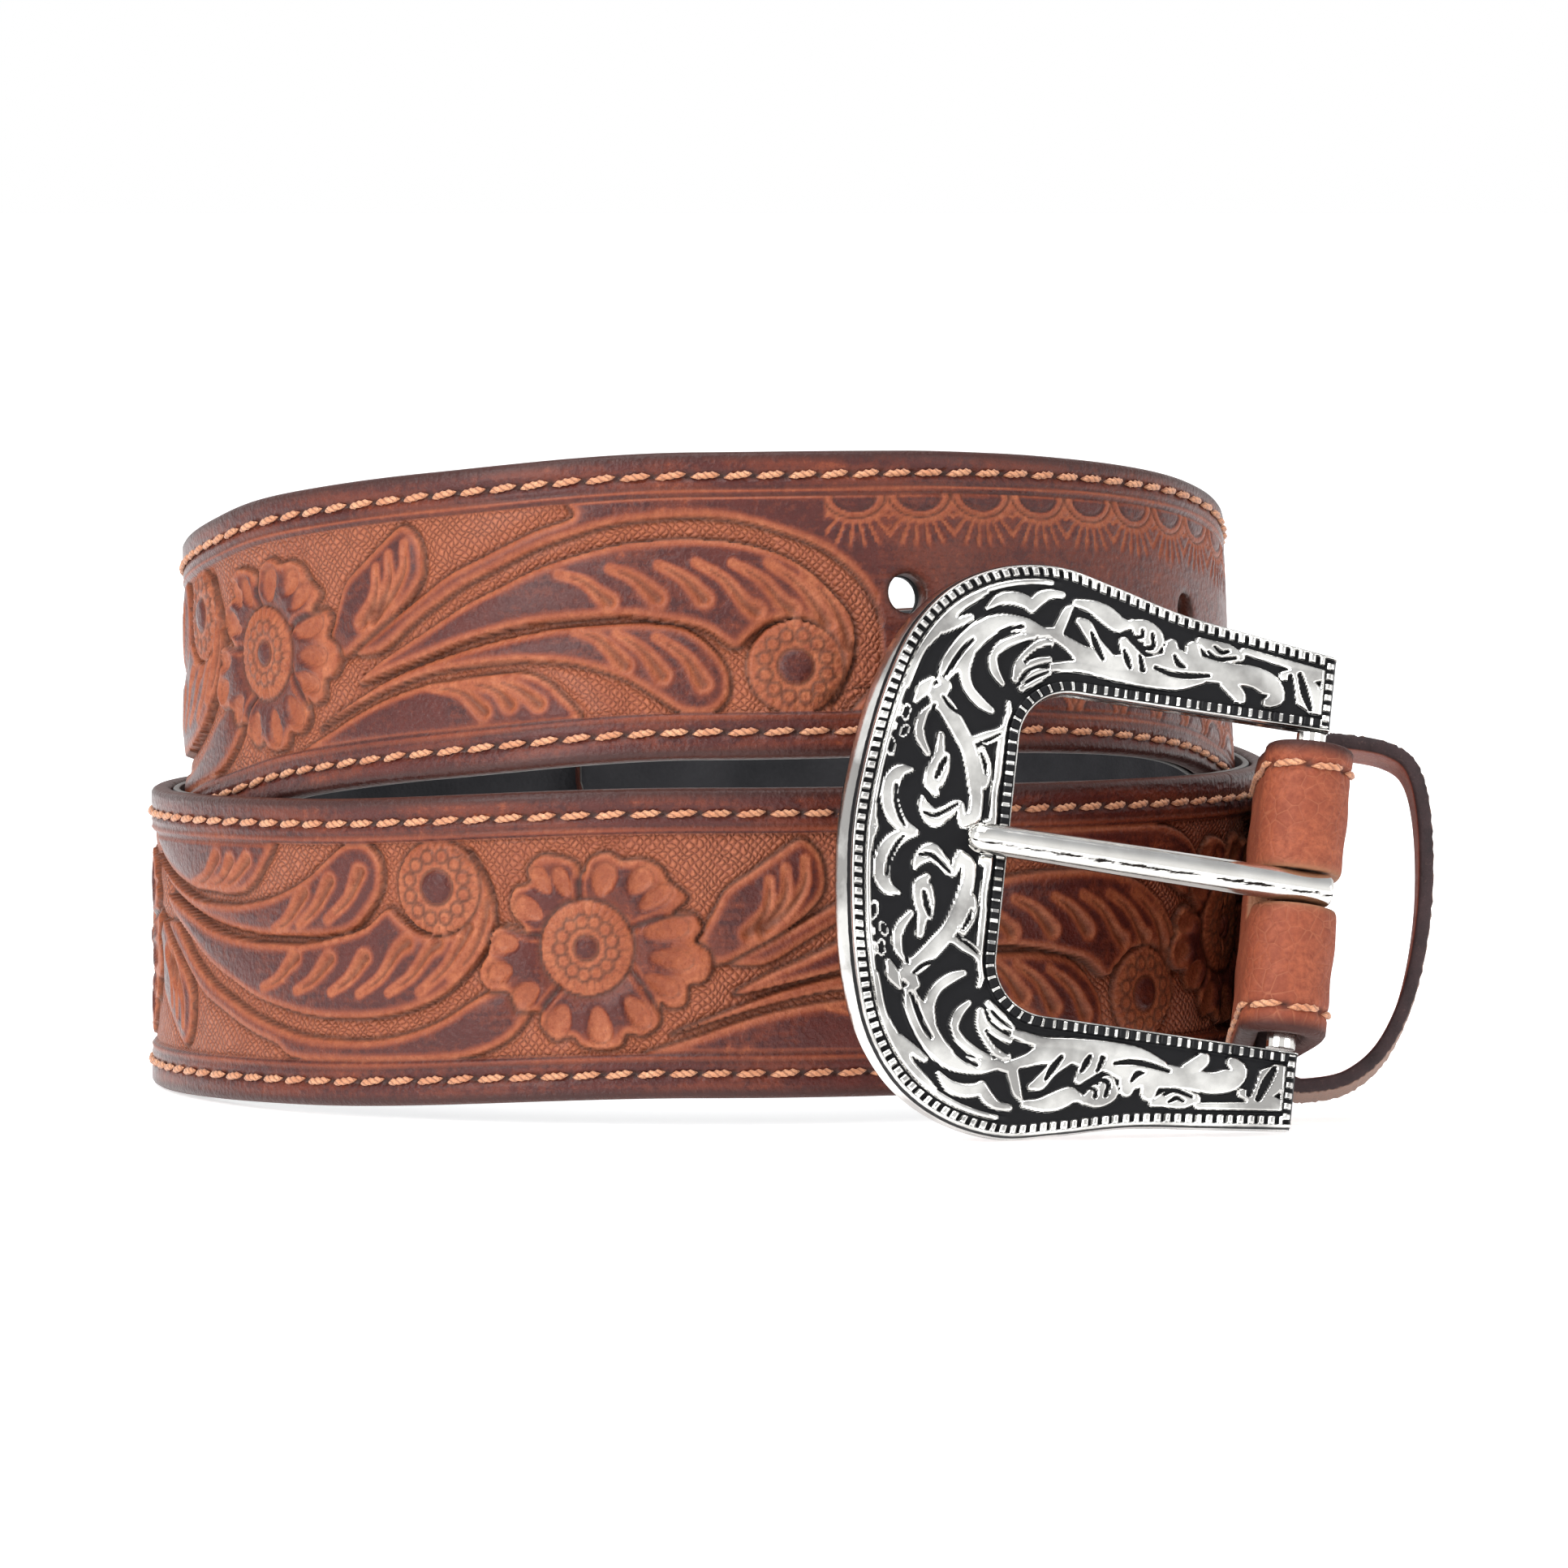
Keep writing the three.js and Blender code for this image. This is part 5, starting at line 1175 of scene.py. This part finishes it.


# The buckle frame: a cast zinc horseshoe, silver plated and rubbed over black enamel, so that its raised
# scrollwork and two toothed rims are bright and the ground between them is black, though on the inner rim the
# teeth themselves are painted black between silver slots as painted dark reflections. It hangs on the bar.
BUCKLE_SWING = 13.0
WINDOW_HALF_HEIGHT = 19.8
WINDOW_END = 36.5
WINDOW_CORNER = 6.2
ARM_END = -2.0
FRAME_BACK = -2.0
CORNER_U = 29.0
CORNER_V = 12.5
FRAME_EDGE = [(-2, 29.3), (8, 30.5), (18, 31.8), (27, 34), (34, 35.3), (41, 34.2), (47, 30.8), (51.3, 25.2),
              (53.8, 18), (55.4, 9), (56.1, 0)]
TOOTH_PITCH = 1.3
FRONT_STEPS = 93
RIM_SHARE = 1.9
SILVER_SCROLLS = [
    [(42.3, 28.7, 0.1), (40.9, 30.0, 0.5), (39.3, 30.4, 0.6), (37.8, 30.2, 0.6), (36.8, 29.7, 0.5)],
    [(36.9, 29.6, 0.5), (35.9, 30.9, 0.6), (34.7, 31.6, 0.4), (33.2, 31.7, 0.2)],
    [(42.5, 30.7, 0.1), (44.1, 29.7, 0.4), (46, 28.3, 0.55), (47.4, 26.4, 0.6), (48.8, 24.2, 0.45),
     (50, 22.4, 0.4), (50.7, 20.1, 0.35), (51.3, 17.8, 0.25)],
    [(47.5, 25.2, 0.35), (45.5, 26.5, 0.4), (44.2, 27.3, 0.25)],
    [(34, 27, 0.35), (35.3, 26.7, 0.5), (37.1, 27.2, 0.65), (38.9, 27.3, 0.75), (40.7, 27, 0.9),
     (42.3, 26.1, 1.0), (43.8, 24.6, 1.1), (45, 22.9, 1.1), (46.2, 21, 0.9), (46.9, 19.3, 0.5)],
    [(36.2, 26.1, 0.2), (38.2, 25.5, 0.35), (40.1, 24.3, 0.4), (41, 22.9, 0.4), (40.6, 21.1, 0.4),
     (39.5, 19.7, 0.2)],
    [(34.1, 25.5, 0.3), (35.3, 25.2, 0.45), (36.7, 23.9, 0.4), (37.8, 22.2, 0.35), (38, 20.6, 0.25)],
    [(34, 23.6, 0.2), (35.9, 22.9, 0.3), (37.3, 21.9, 0.3), (38, 20.5, 0.3)],
    [(33.9, 22, 0.25), (35.4, 21.2, 0.65), (37.1, 19.4, 0.25)],
    [(44, 23, 0.6), (44.3, 20.6, 0.5), (43.6, 18.5, 0.45), (42, 17, 0.45), (40.5, 16.2, 0.25)],
    [(46.4, 18.4, 0.5), (47.3, 17, 0.8), (46, 15.6, 0.8), (44.1, 13.1, 0.8), (42.8, 11.1, 0.75),
     (41.9, 8.5, 0.7), (41.3, 5.5, 0.7), (41.4, 3, 0.7), (42.4, 1.9, 0.4)],
    [(48.2, 19, 0.2), (49.1, 17.7, 0.6), (49.9, 16.1, 0.2)],
    [(47.4, 16, 0.3), (48.9, 14.2, 0.4), (49, 12, 0.45), (47.8, 9.9, 0.25)],
    [(46.4, 12.3, 0.3), (46.3, 10, 0.4), (46.9, 8, 0.55), (46.9, 6.3, 0.7), (46.3, 5.2, 0.3)],
    [(45.6, 9.8, 0.4), (45.5, 8, 0.35), (45.9, 6.4, 0.3)],
    [(47.9, 4.4, 0.1), (47.5, 3.3, 0.5), (46.2, 2.1, 0.85), (44.8, 2.9, 0.6), (43.2, 4.1, 0.4),
     (42.8, 2.4, 0.25)],
    [(49.5, 7.6, 0.12), (51, 7.2, 0.6), (51.9, 5.6, 0.75), (51.9, 3.8, 0.8), (51.2, 2, 0.8), (50, 0.7, 0.6),
     (48.2, 0.1, 0.2)],
    [(53.6, 2.8, 0.15), (53.6, 1.4, 0.25), (53.1, 0.1, 0.12)],
    [(42.4, 12.4, 0.2), (40.8, 12.8, 0.55), (39, 13.8, 0.4), (38.2, 15.4, 0.3), (38.4, 17.5, 0.15)],
    [(41.1, 11.2, 0.3), (40.6, 9.6, 0.55), (40.3, 8.2, 0.45), (40.3, 6.8, 0.15)],
    [(38.5, 15.5, 0.2), (38.8, 12, 0.35), (38.8, 9, 0.3), (39, 6.2, 0.3), (38.8, 2.8, 0.3)],
    [(53.1, 13.6, 0.3), (53.5, 11, 0.35), (54, 7.5, 0.3), (54.2, 4.5, 0.3), (54.3, 0, 0.3)],
    [(35.4, 3.2, 0.4), (37.2, 2.7, 0.9), (39.4, 2.2, 0.5)],
    [(33.4, 22.7, 0.35), (30, 23.2, 0.4), (26, 22.9, 0.45), (22, 22.9, 0.6), (18, 23.2, 0.7),
     (15, 24.1, 0.5)],
    [(34, 26.7, 0.4), (31.5, 25.6, 0.5), (29.6, 24.6, 0.8), (26.4, 24.2, 0.7), (24, 24.6, 0.7),
     (21.6, 24.4, 0.9), (18.6, 25.2, 1.1), (15.5, 25.2, 1.1), (12, 25.1, 0.9), (8.6, 25.2, 0.9),
     (6.3, 24.4, 1.0), (5.3, 23.2, 0.7), (6.2, 22.3, 0.4)],
    [(33.5, 26.6, 0.5), (32.5, 29.6, 0.35), (32, 30.3, 0.12)],
    [(31.4, 31, 0.2), (29.4, 30.8, 0.5), (27.6, 30.1, 0.75), (26, 29.2, 0.7), (24.9, 29.2, 0.35)],
    [(30.8, 28.8, 0.2), (29.8, 28.2, 0.5), (28.6, 26.6, 0.4), (26.8, 24.8, 0.5)],
    [(25, 27.1, 0.3), (24.2, 26, 0.6), (22.6, 24.8, 0.5)],
    [(19, 27.6, 0.45), (18.8, 26.6, 0.8), (17.6, 25.9, 0.6)],
    [(16.3, 27.6, 0.55), (16, 26.3, 0.7), (15.2, 25.6, 0.6)],
    [(11.6, 24, 0.6), (10, 22.6, 0.55), (9.8, 21.7, 0.3)],
    [(24.2, 29.6, 0.2), (22.9, 29, 0.9), (21.4, 28, 1.0), (21.4, 27.2, 0.7)],
    [(15.6, 28.7, 0.15), (14, 28, 0.6), (12, 27.6, 0.8), (10.3, 27.4, 0.3)],
    [(10, 28.2, 0.15), (7, 28, 0.35), (3, 27.5, 0.4), (0, 27.2, 0.3)],
    [(3.4, 26.5, 0.4), (2.4, 25.2, 1.0), (1.4, 24, 1.3), (0.3, 22.8, 0.8)],
    [(4.6, 25.9, 0.3), (1.5, 26.5, 0.6), (-0.6, 26.4, 0.3), (-0.6, 24, 0.35), (-0.5, 22.4, 0.3)]]
ENAMEL_CUTS = [
    [(37.7, 27.1, 0.22), (39.6, 26.4, 0.32), (40.9, 25.1, 0.34), (41.7, 23.1, 0.22)],
    [(43.7, 24.6, 0.2), (45, 22.9, 0.28), (45.9, 21.1, 0.28), (46.8, 19.5, 0.18)],
    [(45.4, 19.3, 0.18), (44.1, 17.4, 0.28), (41.8, 15.4, 0.2)],
    [(46.6, 17, 0.18), (45.4, 15.8, 0.24), (43.2, 14.9, 0.18)],
    [(34.1, 25.1, 0.2), (35.5, 24.3, 0.28), (37, 22.8, 0.18)],
    [(33.9, 22, 0.1), (35.5, 21.2, 0.2), (37, 19.9, 0.1)],
    [(47.5, 15.9, 0.18), (48, 14.3, 0.28), (48.3, 12.7, 0.18)],
    [(46, 13.2, 0.18), (45.3, 11.9, 0.3), (44.5, 10.7, 0.18)],
    [(45.4, 9.8, 0.2), (46, 8.4, 0.36), (46.4, 7, 0.2)],
    [(43, 7.9, 0.2), (42.7, 6.2, 0.32), (42.3, 4.9, 0.3), (42.2, 3.5, 0.18)],
    [(47.4, 2.6, 0.2), (46.2, 2.4, 0.26), (44.8, 3.2, 0.26), (43.5, 4.2, 0.2)],
    [(51.2, 5.6, 0.18), (51.1, 3.7, 0.26), (50.4, 1.8, 0.26), (49.7, 0.7, 0.18)],
    [(41.6, 12.1, 0.14), (40.4, 12.6, 0.22), (39, 13.6, 0.12)],
    [(41.2, 10.9, 0.14), (40.6, 9.6, 0.24), (40.3, 8.4, 0.14)],
    [(22.8, 28.9, 0.2), (22.8, 28.1, 0.22), (23.8, 27.8, 0.2)],
    [(21.5, 28.6, 0.2), (21.4, 26.9, 0.28), (23.3, 26.7, 0.2)],
    [(18.5, 26.3, 0.2), (17.9, 25.4, 0.34), (17.1, 25.1, 0.16)],
    [(20.8, 24.5, 0.2), (18.6, 24, 0.34), (16.4, 24.1, 0.34), (14, 24.5, 0.2)],
    [(29.1, 27.6, 0.2), (28.4, 26.2, 0.4), (27.4, 24.6, 0.22)],
    [(24.8, 26, 0.2), (24.3, 24.9, 0.36), (23.9, 24, 0.2)],
    [(22.8, 25.7, 0.2), (22.3, 24, 0.32)],
    [(13.6, 28.2, 0.14), (12.7, 27.6, 0.24), (11.8, 27.9, 0.14)],
    [(14.3, 27.4, 0.18), (13.1, 26.7, 0.26), (10.8, 27.2, 0.18)],
    [(3.8, 25.9, 0.3), (3.5, 24.1, 0.5), (2.9, 22.2, 0.3)],
    [(2.6, 26.3, 0.3), (1.8, 24.2, 0.5), (0.9, 22.3, 0.3)]]
ENAMEL_OVALS = [(52.3, 15.2, 0.75, 1.25, -25), (50.9, 14.5, 0.5, 0.95, 5), (52.5, 12.7, 0.6, 0.6, 0),
                (50.9, 12.2, 0.45, 0.8, 25), (52.4, 10.2, 0.55, 1.15, -12)]


def buckle_rays():
    """Rays across the band from inside the window: straight up along the arm, a fan round the corner and
    level across the closed end. Each meets the outer and the inner edge, and both halves mirror each
    other."""
    outline = smooth_line(FRAME_EDGE + [(u, -v) for u, v in FRAME_EDGE[-2::-1]], each=60)
    outline = outline[:len(outline) // 2 + 1]
    centre = WINDOW_END - WINDOW_CORNER
    bend = np.radians(np.linspace(90, 0, 60))
    arc = np.column_stack([centre + WINDOW_CORNER * np.cos(bend),
                           WINDOW_HALF_HEIGHT - WINDOW_CORNER + WINDOW_CORNER * np.sin(bend)])
    window = np.vstack([[ARM_END, WINDOW_HALF_HEIGHT], arc, [WINDOW_END, 0.0]])
    arm_u = np.linspace(ARM_END, CORNER_U, 160, endpoint=False)
    arm = np.column_stack([arm_u, np.interp(arm_u, outline[:, 0], outline[:, 1]),
                           arm_u, np.interp(arm_u, window[:, 0], window[:, 1])])

    def fan(edge, angle):
        dense = np.vstack([np.linspace(a, b, 30, endpoint=False)
                           for a, b in zip(edge[:-1], edge[1:])] + [edge[-1:]])
        off = dense - np.array([CORNER_U, CORNER_V])
        turn = np.arctan2(off[:, 1], off[:, 0])
        order = np.argsort(turn)
        reach = np.interp(angle, turn[order], np.hypot(off[:, 0], off[:, 1])[order])
        return CORNER_U + reach * np.cos(angle), CORNER_V + reach * np.sin(angle)

    angle = np.radians(np.linspace(90, 0, 190, endpoint=False))
    round_outer, round_inner = fan(outline, angle), fan(window, angle)
    corner = np.column_stack([*round_outer, *round_inner])
    end_v = np.linspace(CORNER_V, 0.0, 62)
    end_u = np.interp(end_v, outline[::-1, 1], outline[::-1, 0])
    end = np.column_stack([end_u, end_v, 0 * end_v + WINDOW_END, end_v])
    upper = np.vstack([arm, corner, end])
    lower = upper[-2::-1] * np.array([1, -1, 1, -1])
    both = np.vstack([upper, lower])
    return both[:, :2], both[:, 2:]


def teeth(walked, inset, low, high):
    """A row of square teeth between two insets: blocks take two thirds of a pitch, slots the rest."""
    beat = np.abs((walked / TOOTH_PITCH) % 1.0 - 0.5) * 2
    row = settled((inset - low) * 6) * settled((high - inset) * 6)
    return settled((0.66 - beat) * 7) * row, settled((beat - 0.62) * 6) * row


def stroke_near(stroke, pad, u, v):
    """Where the sheet lies within pad of a stroke, and its distance off the line and half width there."""
    line = smooth_line(stroke, each=4)
    near = (u > line[:, 0].min() - pad) & (u < line[:, 0].max() + pad)
    near &= (v > line[:, 1].min() - pad) & (v < line[:, 1].max() + pad)
    return near, *off_line(line, u[near], v[near])


def engraved(u, v, inset, width, outer_walk, inner_walk):
    """Level of the frame's front in mm and how much black enamel lies there, from 0 to 1.

    A scroll is a flat dome inside its stroke, a cut takes the dome away, and an oval leaves only its ring. On
    the outer rim the teeth are bright; on the inner rim the slots between them are, and its raised teeth are
    painted black as painted dark reflections off their rounded tops."""
    height = np.zeros(u.shape)
    upper_v = np.abs(v)
    for stroke in SILVER_SCROLLS:
        near, away, half = stroke_near(stroke, 2, u, upper_v)
        half = half * 1.2 + 0.28 - 0.12 * settled((u[near] - 31.0) / 4.0)
        crown = 0.84 + 0.16 * np.sqrt(np.clip(1 - (away / (half + 0.1)) ** 2, 0, 1))
        height[near] = np.maximum(height[near], settled((half - away) / 0.3 + 0.5) * crown)
    for stroke in ENAMEL_CUTS:
        near, away, half = stroke_near(stroke, 1, u, upper_v)
        height[near] = height[near] * (1 - 0.95 * settled((half - away) / 0.18 + 0.5))
    for u0, v0, long, wide, turn in ENAMEL_OVALS:
        c, s = np.cos(np.radians(turn)), np.sin(np.radians(turn))
        du, dv = u - u0, upper_v - v0
        number = np.hypot((du * c + dv * s) / long, (dv * c - du * s) / wide)
        height = np.where(number < 1.4, np.maximum(height * (number > 1), 0.85 * bell(number - 1.0, 0.22)),
                          height)
    from_window = width - inset
    from_end = u - ARM_END
    field = settled((inset - 1.95) * 4) * settled((width - 1.75 - inset) * 4) * settled((from_end - 1.3) * 3)
    height = height * field
    outer_teeth, _ = teeth(outer_walk, inset, 0.5, 1.65)
    inner_teeth, inner_slots = teeth(inner_walk, from_window, 0.35, 1.6)
    margin = settled((inset - 1.85) * 6) * settled((2.75 - inset) * 6) * settled((u - 33.0) / 3.0)
    on_arm_end = (settled((1.35 - from_end) * 6) * settled((inset - 0.5) * 5)
                  * settled((from_window - 0.4) * 5))
    end_teeth = settled((0.66 - np.abs((upper_v / TOOTH_PITCH) % 1.0 - 0.5) * 2) * 7) * on_arm_end
    end_teeth = end_teeth * settled((from_end - 0.3) * 6)
    lip = np.clip(1 - np.abs(inset - 0.38) / 0.3, 0, 1) + np.clip(1 - np.abs(from_window - 0.22) / 0.22, 0, 1)
    height = np.maximum(height, 0.9 * margin)
    rim = np.maximum(outer_teeth, np.maximum(inner_teeth, inner_slots * 0.8)) * (1 - on_arm_end)
    # The outer teeth are rubbed bright. On the inner rim the raised teeth stay black and only the slots
    # between them are silver: painted dark reflections off the teeth's rounded tops.
    rubbed_teeth_and_reflection_slots = np.maximum(outer_teeth * 0.8, inner_slots * 0.9) * (1 - on_arm_end)
    raised = np.clip(np.maximum(np.maximum(height, np.maximum(rim, end_teeth)), lip), 0, 1)
    bright = np.clip(np.maximum(np.maximum(height, np.maximum(rubbed_teeth_and_reflection_slots, 0.8 * end_teeth)), lip), 0, 1)
    bow = 0.35 * bell(inset - width * 0.5, 0.3 * width) * field
    slope = np.clip(inset / 0.34, 0, 1) * np.clip(from_window / 0.3, 0, 1)
    level = 1.22 + 0.72 * raised + bow * 0.4 - 0.6 * (1 - settled(slope))
    return level, 1 - settled(bright * 2.4 - 0.5)


def silver_and_enamel():
    """Bright silver plate with fine polishing haze and cloudy darker patches that are painted dark
    reflections, and black enamel where the paint number says so.
    """
    plate, tree, shader = new_finish("silver_and_enamel")
    solid = surface(tree)
    haze = noise(tree, solid, 700.0, 5.0, 0.7)
    cloud = noise(tree, solid, 140.0, 4.0)
    black = sum_up(tree, "ADD", paint_numbers(tree)[0], ramp(tree, haze, 0.35, 0.75, -0.14, 0.16))
    black = ramp(tree, black, 0.35, 0.62)
    # The silver's colour runs from dark grey to bright in cloudy patches: painted dark reflections on its
    # broad faces.
    silver = mixed(tree, ramp(tree, cloud, 0.40, 0.62), (0.42, 0.41, 0.395, 1), (0.94, 0.93, 0.895, 1))
    rough = sum_up(tree, "ADD", ramp(tree, black, 0.0, 1.0, 0.13, 0.42),
                   ramp(tree, haze, 0.3, 0.7, -0.04, 0.08))
    fill(tree, shader, Base_Color=mixed(tree, black, silver, (0.006, 0.006, 0.007, 1)), Roughness=rough,
         Metallic=ramp(tree, black, 0.0, 1.0, 1.0, 0.0), Specular_IOR_Level=0.14,
         Normal=bumped(tree, haze, 0.00006, 0.2))
    return plate


def buckle_axes():
    """The bar's middle and the buckle's own axes: u across the front, v up the bar and f out of its face."""
    middle, along, up, out = strap_axes(0.0)
    swing = radians(BUCKLE_SWING)
    u = -out * np.cos(swing) - along * np.sin(swing)
    return middle + FOLD_DEPTH * out, u, up, np.cross(up, u)


BAR_MIDDLE, BUCKLE_U, BUCKLE_V, BUCKLE_F = buckle_axes()


def in_buckle(u, v, level):
    """Places from the buckle's own u, v and level above the bar's axis, in mm."""
    return BAR_MIDDLE + u[..., None] * BUCKLE_U + v[..., None] * BUCKLE_V + level[..., None] * BUCKLE_F


def walked_round(edge):
    """The distance walked along an edge to each of its points."""
    return np.concatenate([[0], np.cumsum(np.linalg.norm(np.diff(edge, axis=0), axis=1))])[:, None]


def buckle_frame():
    """The front is a grid of rays by steps across the band. The section goes on down the inner wall, across
    the back and up the bevelled outer wall, and is closed at both arm ends."""
    outer, inner = buckle_rays()
    width = np.linalg.norm(outer - inner, axis=1)[:, None]

    def across_band(inset):
        place = outer[:, None] + (inner - outer)[:, None] * (inset / width)[..., None]
        return place[..., 0], place[..., 1]

    part = np.linspace(0, 1, FRONT_STEPS)[None, :]
    middle = RIM_SHARE + (part - 0.16) / 0.68 * (width - 2 * RIM_SHARE)
    inset = np.where(part < 0.16, part / 0.16 * RIM_SHARE,
                     np.where(part > 0.84, width - (1 - part) / 0.16 * RIM_SHARE, middle))
    u, v = across_band(inset)
    level, enamel = engraved(u, v, inset, width, walked_round(outer), walked_round(inner))
    level = level - 0.5 * (1 - settled((u - ARM_END) / 0.35))
    flare = np.maximum(((outer - inner) / width)[:, 0:1], 0) ** 3
    rest = [(width - a, b) for a, b in ((0.0, 0.35), (0.0, -0.6), (0.06, -1.5), (0.3, FRAME_BACK))]
    rest += [(width * f, FRAME_BACK) for f in (0.75, 0.5, 0.25)]
    rest += [(0.5 - 1.3 * flare, FRAME_BACK), (0.12 - 1.25 * flare, -1.6), (-0.02 - 1.1 * flare, -1.1),
             (0.02 - 0.55 * flare, -0.2), (-0.25 * flare, 0.35)]
    rest_u, rest_v = across_band(np.hstack([a + 0 * width for a, b in rest]))
    u, v = np.hstack([u, rest_u]), np.hstack([v, rest_v])
    level = np.hstack([level] + [np.full_like(width, b) for a, b in rest])
    paint = np.zeros(u.shape + (4,))
    paint[:, :FRONT_STEPS, 0] = enamel
    paint[:, FRONT_STEPS:FRONT_STEPS + 4, 0] = 0.4
    new_piece("frame_relief", "buckle", "buckle_frame", silver_and_enamel(), in_buckle(u, v, level),
              tube_polygons(*u.shape), paint, np.stack([u, v], -1), flat_ends=True)


buckle_frame()


# The prong and the bar: round bright rod. The prong's eye turns on the bar, and its tip rests on the closed
# end of the frame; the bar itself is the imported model's rod with its finish.
PRONG_RADIUS = 2.0
PRONG_LENGTH = 42.5
PRONG_ROOT = -3.5
PRONG_EYE = 3.6
PRONG_EYE_HOLE = 2.15
RIM_LEVEL = 1.9
RUNNING_GAP = 0.3
ROOT_LIFT = 1.5
DARK_REFLECTION_LINE = 0.0028


def bright_rod():
    """Polished silver plate, a little warm, with faint scratches. Below the rod's middle its colour is
    painted darker as painted shade, and a broken black line painted along it is a painted dark reflection."""
    rod, tree, shader = new_finish("bright_rod")
    solid = surface(tree)
    stretched = plugged(tree, "Mapping", Vector=solid, Scale=(120.0, 900.0, 900.0)).outputs["Vector"]
    scratch = noise(tree, stretched, 1.0, 5.0, 0.7)
    broken = noise(tree, stretched, 2.2, 4.0, 0.65)
    cloud = noise(tree, solid, 260.0, 3.0)
    # Painted shade and a painted dark reflection on the rod's lower side: the colour turns grey there and a
    # broken black line runs along it.
    below_top = plugged(tree, "SeparateXYZ", Vector=surface(tree, "UV")).outputs["Y"]
    from_dark_reflection_line = sum_up(tree, "ABSOLUTE", sum_up(tree, "SUBTRACT", below_top, DARK_REFLECTION_LINE))
    width = ramp(tree, broken, 0.42, 0.72, 0.0, 0.00042)
    streak = ramp(tree, sum_up(tree, "SUBTRACT", width, from_dark_reflection_line), -0.00008, 0.00008)
    shade = ramp(tree, below_top, 0.0029, 0.0039, 0.0, 0.7)
    colour = mixed(tree, ramp(tree, cloud, 0.3, 0.7), (0.74, 0.72, 0.68, 1), (0.88, 0.865, 0.83, 1))
    colour = mixed(tree, shade, colour, (0.17, 0.16, 0.15, 1))
    colour = mixed(tree, streak, colour, (0.012, 0.010, 0.009, 1))
    fill(tree, shader, Base_Color=colour, Metallic=1.0, Roughness=ramp(tree, scratch, 0.3, 0.75, 0.08, 0.2),
         Normal=bumped(tree, scratch, 0.00005, 0.25))
    return rod


BRIGHT_ROD = bright_rod()


def prong_shaft():
    """Rings of a round rod about its tilted axis; the radius narrows by 6 hundredths to the tip and closes in
    a dome. Over the bar the rod is flat underneath, 2.2 mm above the bar's axis."""
    root_level = PRONG_EYE - PRONG_RADIUS + ROOT_LIFT
    tilt = np.arctan2(RIM_LEVEL + RUNNING_GAP + PRONG_RADIUS - root_level, WINDOW_END)
    dome = np.linspace(0, np.pi / 2, 12)[:-1]
    tip = PRONG_LENGTH - PRONG_RADIUS
    along = np.concatenate([PRONG_ROOT + 0.6 * (1 - np.cos(dome)), np.linspace(PRONG_ROOT + 0.7, tip, 64),
                            tip + PRONG_RADIUS * np.sin(dome[1:])])[:, None]
    ends = np.concatenate([0.68 + 0.32 * np.sin(dome), np.ones(64), np.cos(dome[1:])])[:, None]
    radius = PRONG_RADIUS * (1 - 0.06 * settled((along - 20) / 20)) * ends
    radius = radius * (1 - 0.02 * bell(along - 36.8, 0.25) - 0.02 * bell(along - 38.6, 0.25))
    angle = np.linspace(0, 2 * np.pi, 40, endpoint=False)[None, :]
    side = radius * np.cos(angle)
    up = radius * np.sin(angle)
    u = along * np.cos(tilt) - up * np.sin(tilt)
    level = root_level + along * np.sin(tilt) + up * np.cos(tilt)
    level = np.maximum(level, PRONG_EYE_HOLE + 0.05 - 3.0 * settled((u - 2.2) / 1.6))
    # How far round from the top a point lies; it places the rod's painted shade and painted dark reflection.
    below_top = np.where(np.sin(angle) > 0, PRONG_RADIUS * (1 - np.cos(angle)), 0.0)
    new_piece("prong_shaft", "prong", "prong", BRIGHT_ROD, in_buckle(u, side, level),
              tube_polygons(*u.shape), None, np.stack([along + 0 * side, below_top + 0 * side], -1))


def prong_eye():
    """A flat ring about the bar with rounded edges: a rounded oblong section carried round the bar's axis."""
    outside = PRONG_EYE - 0.1
    angle = np.linspace(0, 2 * np.pi, 56, endpoint=False)[:, None]
    bend = np.linspace(0, 2 * np.pi, 28, endpoint=False)[None, :]
    soft = 1 / (np.abs(np.cos(bend)) ** 4 + np.abs(np.sin(bend)) ** 4) ** 0.25
    radius = (outside + PRONG_EYE_HOLE) / 2 + (outside - PRONG_EYE_HOLE) / 2 * np.cos(bend) * soft
    side = 1.85 * np.sin(bend) * soft + 0 * angle
    new_piece("prong_eye", "prong", "prong", BRIGHT_ROD,
              in_buckle(radius * np.cos(angle), side, radius * np.sin(angle)),
              tube_polygons(56, 28, ring=True))


prong_shaft()
prong_eye()

bar_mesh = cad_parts["buckle_bar"].data
bar_mesh.materials.clear()
bar_mesh.materials.append(BRIGHT_ROD)
